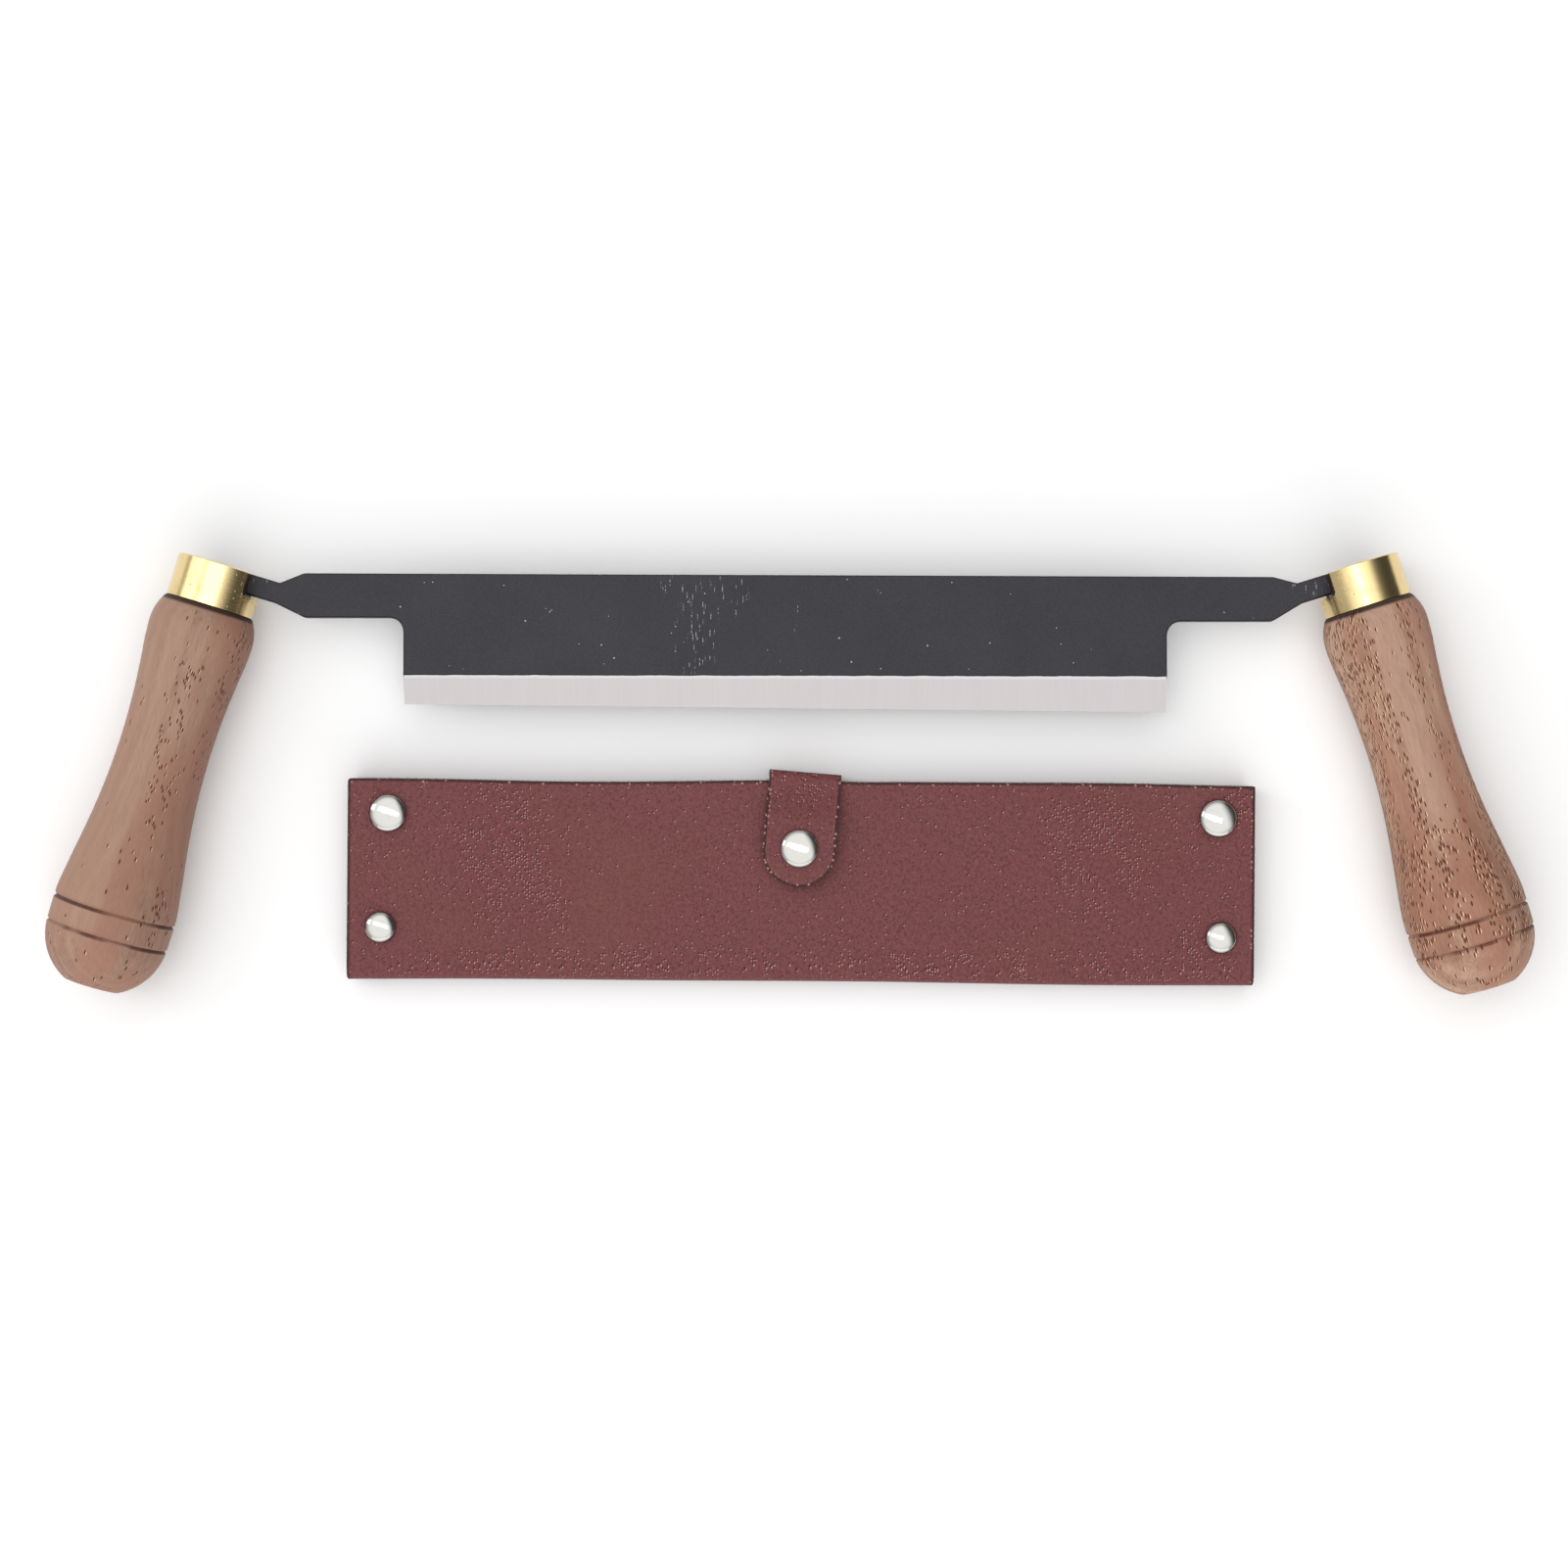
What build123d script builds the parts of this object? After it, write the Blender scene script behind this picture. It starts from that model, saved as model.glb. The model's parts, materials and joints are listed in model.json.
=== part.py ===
from build123d import *
from math import acos, asin, cos, degrees, radians, sin, sqrt, tan
import os

os.makedirs("parts", exist_ok=True)

# A straight drawknife lying flat on a table, with its leather blade cover in front of the edge.
# Millimetres. X runs along the blade, Y from the pommels towards the blade's back, Z up from the table.

# Blade: a flat forging whose tangs turn down into the handles.
blade_thickness = 4.0
blade_corner = 4.0  # inside radius where the bar meets the blade's ends
flare_half_span = 128.6  # where the bar starts to narrow towards each tang
flare_corner = 2.5
neck_corner = 1.2
tang_width = 5.4
tang_reach = 16.4  # neck to handle axis
tang_length = 74.0
tang_tip_width = 3.2
tang_bend = 2.0
edge_land = 0.15  # thickness left along the cutting edge
arris = 0.35

# Handles, measured down their own axis from the top of the ferrule.
seat_half_span = 150.7
seat_height = 55.9
ferrule_length = 11.6
ferrule_radius = 11.7
ferrule_wall = 0.9
ferrule_lip = 0.25
notch_depth = 6.2
notch_lateral = 8.6  # the blade's side of ferrule and spigot is cut back square to here
spigot_drop = 0.3
bore_radius = 4.75
bore_depth = 78.0
slot_width = 5.0

# Turned outline below the ferrule: (radius, distance from the ferrule's lower end).
shoulder_start_radius = 11.9
shoulder_mid = (13.3, 2.9)
shoulder_top = (14.0, 7.0)
grip_points = [(13.2, 17.0), (11.95, 40.0), (13.6, 63.0), (16.0, 80.0)]
pommel_swell = (16.3, 84.0)
dome_radius = 16.2
pommel_flat_radius = 7.4
ring_depth = 0.5
ring_width = 1.2

# The two ends differ a little, as hand work does. Heights are across the blade, in the knife's plane.
sides = {
    "left": {
        "sign": -1,
        "splay": 17.0,
        "blade_end": 102.2,
        "back": 53.7,
        "bar_low": 42.0,
        "bevel": 26.6,
        "edge": 19.1,
        "rings": (84.2, 91.0),
        "dome_centre": 90.5,
    },
    "right": {
        "sign": 1,
        "splay": 17.3,
        "blade_end": 100.4,
        "back": 52.7,
        "bar_low": 41.0,
        "bevel": 26.2,
        "edge": 16.9,
        "rings": (86.6, 93.0),
        "dome_centre": 91.1,
    },
}

# Blade cover: one piece of leather folded along its lower edge.
cover_length = 242.0
cover_height = 53.6
cover_centre = (3.3, -28.4)
cover_turn = -0.43
leather = 2.0
pocket_gap = 5.4
welt_width = 16.5
cover_lift = 2.0  # the cover lies on its rivet heads

# Rivets: (distance from the cover's middle, distance below its mouth, head radius).
rivets = {
    "upper_left": (-110.3, 9.2, 5.0),
    "upper_right": (111.2, 9.0, 5.0),
    "lower_left": (-112.1, 39.6, 4.15),
    "lower_right": (112.1, 40.8, 4.15),
}
head_height = 2.0
head_rim = 0.4
shank_radius = 1.6
pin_radius = 1.1
socket_reach = 4.5  # how far the cap's tube reaches down into the leather

# Strap, in its own frame: origin under the press stud, Y along the strap towards the mouth.
strap_turn = -4.4
strap_width = 19.4
strap_leather = 1.6
snap_offset = -0.5  # press stud from the cover's middle
snap_depth = 17.8  # press stud below the mouth
strap_tip = 10.3  # press stud to the strap's round end
strap_mouth_gap = 0.25
bridge_clear = 0.5  # between the front panel and the strap just inside the mouth
strap_bend = 2.5  # flat stretches either side of the flap's slope
strap_bend_radius = 6.0
tail_length = 24.0
tail_rivet_depth = 12.5
hinge_gap = 0.3

# Press stud.
snap_cap_radius = 5.0
snap_cap_height = 1.8
snap_rise = 2.7  # strap's underside above the front panel at the stud
stud_flange_radius = 4.2
stud_flange = 0.5
stud_neck_radius = 1.45
stud_bead_radius = 1.7
stud_height = 2.3
stud_running_gap = 0.25
snap_socket_radius = 4.6
snap_cavity_radius = 3.3
snap_mouth_radius = 2.8
snap_lip = 0.4
snap_roof = 0.4
spring_wire_radius = 0.22
spring_half_gap = 2.1
spring_leg = 2.2
spring_bow = 0.8  # where the two legs start to bend towards each other
post_flange_radius = 3.4
post_flange = 0.4

# The knife rests on both pommels and both handle shoulders, so its plane slopes down to the blade's back.
mean_splay = radians((sides["left"]["splay"] + sides["right"]["splay"]) / 2)
shoulder_y = seat_height - (ferrule_length + shoulder_top[1]) * cos(mean_splay)
pommel_y = seat_height - (ferrule_length + pommel_swell[1]) * cos(mean_splay)
lie = asin((pommel_swell[0] - shoulder_top[0]) / (shoulder_y - pommel_y))
knife_height = shoulder_top[0] + shoulder_y * sin(lie)
knife_plane = Plane(origin=(0, 0, knife_height), x_dir=(1, 0, 0), z_dir=(0, sin(lie), cos(lie)))


def save(piece, name):
    piece.part.label = name
    export_step(piece.part, f"parts/{name}.step")


def handle_plane(side):
    """Plane through a handle's axis: origin at the ferrule's top, X away from the blade, Y down the axis."""
    turn = radians(side["splay"])
    outward = knife_plane.x_dir * (side["sign"] * cos(turn)) + knife_plane.y_dir * sin(turn)
    seat = knife_plane.from_local_coords((side["sign"] * seat_half_span, seat_height, 0))
    return Plane(origin=seat, x_dir=outward, z_dir=knife_plane.z_dir * -side["sign"])


def across_axis(plane, depth):
    """Plane square to a handle's axis, at a depth below the ferrule's top."""
    return Plane(origin=plane.origin + plane.y_dir * depth, x_dir=plane.x_dir, z_dir=plane.y_dir)


def tang_corners(side):
    """Corners of one end of the blade, from the cutting edge round the tang to the back, with their radii."""
    sign = side["sign"]
    turn = radians(side["splay"])
    seat = Vector(sign * seat_half_span, seat_height)
    outward = Vector(sign * cos(turn), sin(turn))
    down = Vector(sign * sin(turn), -cos(turn))
    return [
        (Vector(sign * side["blade_end"], side["edge"]), 0.0),
        (Vector(sign * side["blade_end"], side["bar_low"]), blade_corner),
        (Vector(sign * flare_half_span, side["bar_low"]), flare_corner),
        (seat - outward * tang_reach + down * tang_width, neck_corner),
        (seat - outward * tang_width / 2 + down * tang_width, tang_bend),
        (seat - outward * tang_tip_width / 2 + down * tang_length, tang_tip_width / 4),
        (seat + outward * tang_tip_width / 2 + down * tang_length, tang_tip_width / 4),
        (seat + outward * tang_width / 2, tang_bend),
        (seat - outward * tang_reach, neck_corner),
        (Vector(sign * flare_half_span, side["back"]), flare_corner),
    ]


def bevel_section(side):
    """What the grinding takes off, square to the blade: X across the blade, Y through its thickness."""
    over = blade_thickness
    return [
        (side["bevel"], blade_thickness / 2),
        (side["edge"], edge_land - blade_thickness / 2),
        (side["edge"] - over, edge_land - blade_thickness / 2),
        (side["edge"] - over, blade_thickness),
        (side["bevel"], blade_thickness),
    ]


# Blade
corners = tang_corners(sides["left"]) + tang_corners(sides["right"])[::-1]
with BuildPart() as blade:
    with BuildSketch(knife_plane) as outline:
        with BuildLine():
            FilletPolyline(*[point for point, _ in corners], radius=[r for _, r in corners], close=True)
        make_face()
    extrude(amount=blade_thickness / 2, both=True)
    normal = Axis(knife_plane.origin, knife_plane.z_dir)
    chamfer(blade.faces().sort_by(normal)[-1].edges(), arris)
    for side in sides.values():
        end = side["sign"] * side["blade_end"]
        with BuildSketch(Plane(knife_plane.from_local_coords((end, 0, 0)), knife_plane.y_dir, knife_plane.x_dir)):
            Polygon(*bevel_section(side), align=None)
    loft(ruled=True, mode=Mode.SUBTRACT)
save(blade, "blade")

# Ferrules, handles and the resin that beds each tang
spigot_radius = ferrule_radius - ferrule_wall
for side_name, side in sides.items():
    plane = handle_plane(side)
    axis = Axis(plane.origin, plane.y_dir)

    with BuildPart() as ferrule:
        with BuildSketch(plane):
            with Locations((ferrule_radius - ferrule_wall / 2, ferrule_length / 2)):
                Rectangle(ferrule_wall, ferrule_length)
            chamfer(vertices(), ferrule_lip)
        revolve(axis=axis)
        with BuildSketch(plane):
            with Locations((-notch_lateral, 0)):
                Rectangle(ferrule_radius, 2 * notch_depth, align=(Align.MAX, Align.CENTER))
        extrude(amount=ferrule_radius, both=True, mode=Mode.SUBTRACT)
    save(ferrule, f"ferrule_{side_name}")

    def down(point):
        return (point[0], ferrule_length + point[1])

    dome_centre = ferrule_length + side["dome_centre"]
    dome_sweep = degrees(acos(pommel_flat_radius / dome_radius))
    pommel_end = dome_centre + sqrt(dome_radius**2 - pommel_flat_radius**2)
    with BuildPart() as handle:
        with BuildSketch(plane):
            with BuildLine():
                Polyline(
                    (0, pommel_end),
                    (0, spigot_drop),
                    (spigot_radius, spigot_drop),
                    (spigot_radius, ferrule_length),
                    (shoulder_start_radius, ferrule_length),
                )
                ThreePointArc((shoulder_start_radius, ferrule_length), down(shoulder_mid), down(shoulder_top))
                Spline(
                    down(shoulder_top),
                    *[down(point) for point in grip_points],
                    down(pommel_swell),
                    tangents=[(0, 1), (0, 1)],
                )
                Line(down(pommel_swell), (dome_radius, dome_centre))
                CenterArc((0, dome_centre), dome_radius, 0, dome_sweep)
                Line((pommel_flat_radius, pommel_end), (0, pommel_end))
            make_face()
        revolve(axis=axis)
        with BuildSketch(plane):
            for ring in side["rings"]:
                with Locations((dome_radius - ring_depth, ferrule_length + ring)):
                    Polygon((0, 0), (2 * ring_depth, ring_width), (2 * ring_depth, -ring_width), align=None)
        revolve(axis=axis, mode=Mode.SUBTRACT)
        with BuildSketch(across_axis(plane, 0)):
            Circle(bore_radius)
        extrude(amount=bore_depth, mode=Mode.SUBTRACT)
        with BuildSketch(plane):
            Rectangle(ferrule_radius, 2 * notch_depth, align=(Align.MAX, Align.CENTER))
        extrude(amount=slot_width / 2, both=True, mode=Mode.SUBTRACT)
        with BuildSketch(plane):
            with Locations((-notch_lateral, 0)):
                Rectangle(ferrule_radius, 2 * notch_depth, align=(Align.MAX, Align.CENTER))
        extrude(amount=ferrule_radius, both=True, mode=Mode.SUBTRACT)
    save(handle, f"handle_{side_name}")

    with BuildPart() as tang_bed:
        with BuildSketch(across_axis(plane, spigot_drop)):
            Circle(bore_radius)
        extrude(amount=bore_depth - spigot_drop)
        with BuildSketch(plane):
            with Locations((0, spigot_drop)):
                Rectangle(notch_lateral, notch_depth - spigot_drop, align=(Align.MAX, Align.MIN))
        extrude(amount=slot_width / 2, both=True)
        add(blade.part, mode=Mode.SUBTRACT)
    save(tang_bed, f"tang_bed_{side_name}")

# Blade cover
cover_plane = Plane(origin=(*cover_centre, 0)).rotated((0, 0, cover_turn))
cover_section = Plane(cover_plane.origin, cover_plane.y_dir, cover_plane.x_dir)
mouth = cover_height / 2
cover_thickness = 2 * leather + pocket_gap
panel_front = cover_lift + cover_thickness
fold_radius = cover_thickness / 2
fold_y = fold_radius - mouth
middle_z = cover_lift + fold_radius

strap_origin = cover_plane.from_local_coords((snap_offset, mouth - snap_depth, 0))
strap_plane = Plane(origin=strap_origin).rotated((0, 0, cover_turn + strap_turn))
strap_section = Plane(strap_plane.origin, strap_plane.y_dir, strap_plane.x_dir)
tail_rivet_y = snap_depth - tail_rivet_depth


def pocket_outline(radius):
    """A strip standing on a round lower end: the panels' outside, or the pocket between them."""
    with BuildSketch() as outline:
        with BuildLine():
            Polyline(
                (fold_y, middle_z - radius),
                (mouth, middle_z - radius),
                (mouth, middle_z + radius),
                (fold_y, middle_z + radius),
            )
            ThreePointArc(
                (fold_y, middle_z + radius),
                (fold_y - radius, middle_z),
                (fold_y, middle_z - radius),
            )
        make_face()
    return outline.sketch


with BuildPart() as rivet_holes:
    for along, depth, _ in rivets.values():
        with BuildSketch(cover_plane):
            with Locations((along, mouth - depth)):
                Circle(shank_radius)
    extrude(amount=panel_front)

with BuildPart() as sheath_leather:
    with BuildSketch(cover_section):
        add(pocket_outline(fold_radius))
    extrude(amount=cover_length / 2, both=True)
    with BuildSketch(cover_section):
        add(pocket_outline(pocket_gap / 2))
    extrude(amount=cover_length, both=True, mode=Mode.SUBTRACT)
    add(rivet_holes.part, mode=Mode.SUBTRACT)
    with BuildSketch(strap_plane.offset(middle_z)):
        Circle(pin_radius)
    extrude(amount=cover_thickness, mode=Mode.SUBTRACT)
    with BuildSketch(strap_plane):
        with Locations((0, tail_rivet_y)):
            Circle(pin_radius)
    extrude(amount=middle_z, mode=Mode.SUBTRACT)
save(sheath_leather, "sheath_leather")

for side_name, side in sides.items():
    inner_end = side["sign"] * (cover_length / 2 - welt_width)
    with BuildPart() as welt:
        with BuildSketch(cover_section.offset(inner_end)):
            add(pocket_outline(pocket_gap / 2))
        extrude(amount=side["sign"] * welt_width)
        add(rivet_holes.part, mode=Mode.SUBTRACT)
    save(welt, f"welt_{side_name}")


def head(radius, height):
    """Half section of a domed head, standing on its flat seat."""
    with BuildSketch() as section:
        with BuildLine():
            Polyline((0, height), (0, 0), (radius - head_rim / 2, 0), (radius, head_rim / 2), (radius, head_rim))
            Bezier((radius, head_rim), (radius, 0.8 * height), (0.6 * radius, height), (0, height))
        make_face()
    return section.sketch


# Rivets: a domed cap with a tube, and a domed post whose pin is driven into it
for rivet_name, (along, depth, radius) in rivets.items():
    seat = cover_plane.from_local_coords((along, mouth - depth, 0))
    rivet_axis = Axis(seat, (0, 0, 1))
    cap_seat = Plane(seat + Vector(0, 0, panel_front), x_dir=(1, 0, 0), z_dir=(0, -1, 0))
    post_seat = Plane(seat + Vector(0, 0, cover_lift), x_dir=(1, 0, 0), z_dir=(0, 1, 0))
    with BuildPart() as rivet_cap:
        with BuildSketch(cap_seat):
            add(head(radius, head_height))
            with Locations((pin_radius, 0)):
                Rectangle(shank_radius - pin_radius, socket_reach, align=(Align.MIN, Align.MAX))
        revolve(axis=rivet_axis)
    save(rivet_cap, f"rivet_cap_{rivet_name}")

    with BuildPart() as rivet_post:
        with BuildSketch(post_seat):
            add(head(radius, head_height))
            Rectangle(shank_radius, cover_thickness - socket_reach, align=(Align.MIN, Align.MAX))
            Rectangle(pin_radius, cover_thickness, align=(Align.MIN, Align.MAX))
        revolve(axis=rivet_axis)
    save(rivet_post, f"rivet_post_{rivet_name}")

# Strap: the tail lies riveted against the back panel, the bridge crosses the mouth, the flap reaches the stud.
# The leather bends at two places, so bridge and flap each start in a round root on their own hinge line.
crooked_reach = strap_width / 2 * tan(radians(-strap_turn))
hinge_y = snap_depth + crooked_reach + strap_mouth_gap + strap_leather / 2
back_hinge = (hinge_y, cover_lift - strap_leather / 2)
front_hinge = (hinge_y, panel_front + bridge_clear + strap_leather / 2)
flap_z = panel_front + snap_rise + strap_leather / 2
print("back hinge", strap_plane.from_local_coords((0, *back_hinge)))
print("front hinge", strap_plane.from_local_coords((0, *front_hinge)))
print("hinge axis", strap_plane.x_dir)


def strap_outline(lower, upper, round_end):
    """Flat outline of a stretch of strap, square at its upper end and round at its lower end."""
    with BuildSketch() as outline:
        with BuildLine():
            Polyline(
                (-strap_width / 2, lower),
                (-strap_width / 2, upper),
                (strap_width / 2, upper),
                (strap_width / 2, lower),
            )
            ThreePointArc(
                (strap_width / 2, lower),
                (0, round_end),
                (-strap_width / 2, lower),
            )
        make_face()
    return outline.sketch


with BuildPart() as strap_tail:
    with BuildSketch(strap_plane.offset(cover_lift - strap_leather)):
        tail_end = snap_depth - tail_length
        add(strap_outline(tail_end + strap_width / 2, hinge_y - strap_leather / 2 - hinge_gap, tail_end))
        with Locations((0, tail_rivet_y)):
            Circle(pin_radius, mode=Mode.SUBTRACT)
    extrude(amount=strap_leather)
save(strap_tail, "strap_tail")

with BuildPart() as strap_bridge:
    with BuildSketch(strap_section):
        with BuildLine():
            Line(back_hinge, (hinge_y, front_hinge[1] - strap_leather / 2 - hinge_gap))
        trace(line_width=strap_leather)
        with Locations(back_hinge):
            Circle(strap_leather / 2)
    extrude(amount=strap_width / 2, both=True)
save(strap_bridge, "strap_bridge")

with BuildPart() as strap_flap:
    with BuildSketch(strap_section):
        with BuildLine():
            FilletPolyline(
                front_hinge,
                (snap_depth - strap_bend, front_hinge[1]),
                (snap_cap_radius + strap_bend, flap_z),
                (-strap_tip, flap_z),
                radius=strap_bend_radius,
            )
        trace(line_width=strap_leather)
        with Locations(front_hinge):
            Circle(strap_leather / 2)
    extrude(amount=strap_width / 2, both=True)
    with BuildSketch(strap_plane):
        add(strap_outline(0, hinge_y + strap_leather, -strap_tip))
        Circle(pin_radius, mode=Mode.SUBTRACT)
    extrude(amount=2 * panel_front, mode=Mode.INTERSECT)
save(strap_flap, "strap_flap")

# The strap's own rivet: a flat head under the tail and a flat clinch inside the pocket
rivet_seat = strap_plane.from_local_coords((0, tail_rivet_y, 0))
with BuildPart() as strap_rivet:
    with BuildSketch(Plane(rivet_seat, x_dir=(1, 0, 0), z_dir=(0, -1, 0))):
        Rectangle(pin_radius, cover_lift + leather + post_flange, align=(Align.MIN, Align.MIN))
        Rectangle(stud_flange_radius, cover_lift - strap_leather, align=(Align.MIN, Align.MIN))
        with Locations((0, cover_lift + leather)):
            Rectangle(post_flange_radius, post_flange, align=(Align.MIN, Align.MIN))
    revolve(axis=Axis(rivet_seat, (0, 0, 1)))
save(strap_rivet, "strap_rivet")

# Press stud: stud and post on the front panel, cap, socket and spring on the strap
snap_axis = Axis(strap_origin, (0, 0, 1))
snap_section = Plane(strap_origin + Vector(0, 0, panel_front), x_dir=(1, 0, 0), z_dir=(0, -1, 0))
with BuildPart() as snap_stud:
    with BuildSketch(snap_section):
        with BuildLine():
            Polyline(
                (pin_radius, 0),
                (stud_flange_radius, 0),
                (stud_flange_radius, stud_flange / 2),
                (stud_flange_radius - stud_flange / 2, stud_flange),
                (stud_neck_radius, stud_flange),
                (stud_neck_radius, stud_height / 2),
            )
            Spline(
                (stud_neck_radius, stud_height / 2),
                (stud_bead_radius, stud_height * 0.75),
                (pin_radius, stud_height),
                tangents=[(1, 1), (-1, 0)],
            )
            Line((pin_radius, stud_height), (pin_radius, 0))
        make_face()
    revolve(axis=snap_axis)
save(snap_stud, "snap_stud")

with BuildPart() as snap_post:
    with BuildSketch(snap_section):
        with Locations((0, -leather - post_flange)):
            Rectangle(post_flange_radius, post_flange, align=(Align.MIN, Align.MIN))
            Rectangle(pin_radius, leather + post_flange + stud_height, align=(Align.MIN, Align.MIN))
    revolve(axis=snap_axis)
save(snap_post, "snap_post")

socket_base = stud_flange + stud_running_gap
with BuildPart() as snap_socket:
    with BuildSketch(snap_section):
        with BuildLine():
            Polyline(
                (snap_mouth_radius, socket_base),
                (snap_socket_radius - snap_lip, socket_base),
                (snap_socket_radius, socket_base + snap_lip),
                (snap_socket_radius, snap_rise),
                (pin_radius, snap_rise),
                (pin_radius, snap_rise - snap_roof),
                (snap_cavity_radius, snap_rise - snap_roof),
                (snap_cavity_radius, socket_base + snap_lip),
                (snap_mouth_radius, socket_base + snap_lip),
                close=True,
            )
        make_face()
    revolve(axis=snap_axis)
save(snap_socket, "snap_socket")

with BuildPart() as snap_spring:
    spring_z = panel_front + (socket_base + snap_lip + snap_rise - snap_roof) / 2
    with BuildSketch(strap_plane.offset(spring_z - spring_wire_radius)):
        with BuildLine():
            Line((-spring_half_gap, -spring_leg), (-spring_half_gap, spring_bow))
            ThreePointArc(
                (-spring_half_gap, spring_bow),
                (0, spring_bow + spring_half_gap),
                (spring_half_gap, spring_bow),
            )
            Line((spring_half_gap, spring_bow), (spring_half_gap, -spring_leg))
        trace(line_width=2 * spring_wire_radius)
    extrude(amount=2 * spring_wire_radius)
save(snap_spring, "snap_spring")

with BuildPart() as snap_cap:
    with BuildSketch(snap_section):
        with Locations((0, snap_rise + strap_leather)):
            add(head(snap_cap_radius, snap_cap_height))
        with Locations((0, snap_rise - snap_roof)):
            Rectangle(pin_radius, strap_leather + snap_roof, align=(Align.MIN, Align.MIN))
    revolve(axis=snap_axis)
save(snap_cap, "snap_cap")
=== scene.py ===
import json
import math

import bmesh
import bpy
import numpy as np
from mathutils import Matrix, Vector


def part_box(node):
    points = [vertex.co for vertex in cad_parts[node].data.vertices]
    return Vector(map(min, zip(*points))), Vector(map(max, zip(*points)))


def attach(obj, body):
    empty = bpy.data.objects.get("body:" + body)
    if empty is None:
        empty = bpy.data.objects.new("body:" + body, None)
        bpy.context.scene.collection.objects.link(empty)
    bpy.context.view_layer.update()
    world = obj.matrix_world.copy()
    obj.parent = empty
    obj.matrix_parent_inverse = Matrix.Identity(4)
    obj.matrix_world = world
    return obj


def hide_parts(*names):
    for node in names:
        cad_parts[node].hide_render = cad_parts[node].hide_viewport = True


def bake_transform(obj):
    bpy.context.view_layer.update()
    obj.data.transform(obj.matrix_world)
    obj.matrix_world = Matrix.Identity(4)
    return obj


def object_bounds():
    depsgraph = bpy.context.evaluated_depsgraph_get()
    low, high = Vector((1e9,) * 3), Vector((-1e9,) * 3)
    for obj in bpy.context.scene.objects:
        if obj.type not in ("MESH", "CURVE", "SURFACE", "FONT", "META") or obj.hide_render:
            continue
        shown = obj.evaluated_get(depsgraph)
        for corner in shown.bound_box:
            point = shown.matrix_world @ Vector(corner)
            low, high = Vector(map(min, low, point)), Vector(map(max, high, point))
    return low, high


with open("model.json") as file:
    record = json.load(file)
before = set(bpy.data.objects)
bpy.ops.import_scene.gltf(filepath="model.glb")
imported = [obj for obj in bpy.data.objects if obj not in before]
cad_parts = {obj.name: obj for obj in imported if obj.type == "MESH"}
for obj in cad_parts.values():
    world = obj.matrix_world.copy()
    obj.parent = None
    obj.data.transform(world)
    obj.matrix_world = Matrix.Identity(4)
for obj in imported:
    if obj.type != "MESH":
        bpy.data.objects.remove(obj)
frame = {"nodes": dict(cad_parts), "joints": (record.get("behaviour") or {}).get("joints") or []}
cadLow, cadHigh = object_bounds()

# node helpers, shared by every finish and every node tree


def addNode(tree, kind, inputs=None, **settings):
    node = tree.nodes.new(kind)
    for key, value in settings.items():
        setattr(node, key, value)
    for key, value in (inputs or {}).items():
        if isinstance(value, bpy.types.NodeSocket):
            tree.links.new(value, node.inputs[key])
        else:
            node.inputs[key].default_value = value
    return node


def addMath(tree, operation, *values):
    return addNode(tree, "ShaderNodeMath", dict(enumerate(values)), operation=operation).outputs[0]


def addRange(tree, value, low, high, first, last):  # a smooth step from first to last
    inputs = {"Value": value, "From Min": low, "From Max": high, "To Min": first, "To Max": last}
    return addNode(tree, "ShaderNodeMapRange", inputs, interpolation_type="SMOOTHSTEP").outputs[0]


def addObject(name, data):
    thing = bpy.data.objects.new(name, data)
    bpy.context.scene.collection.objects.link(thing)
    return thing


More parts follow.
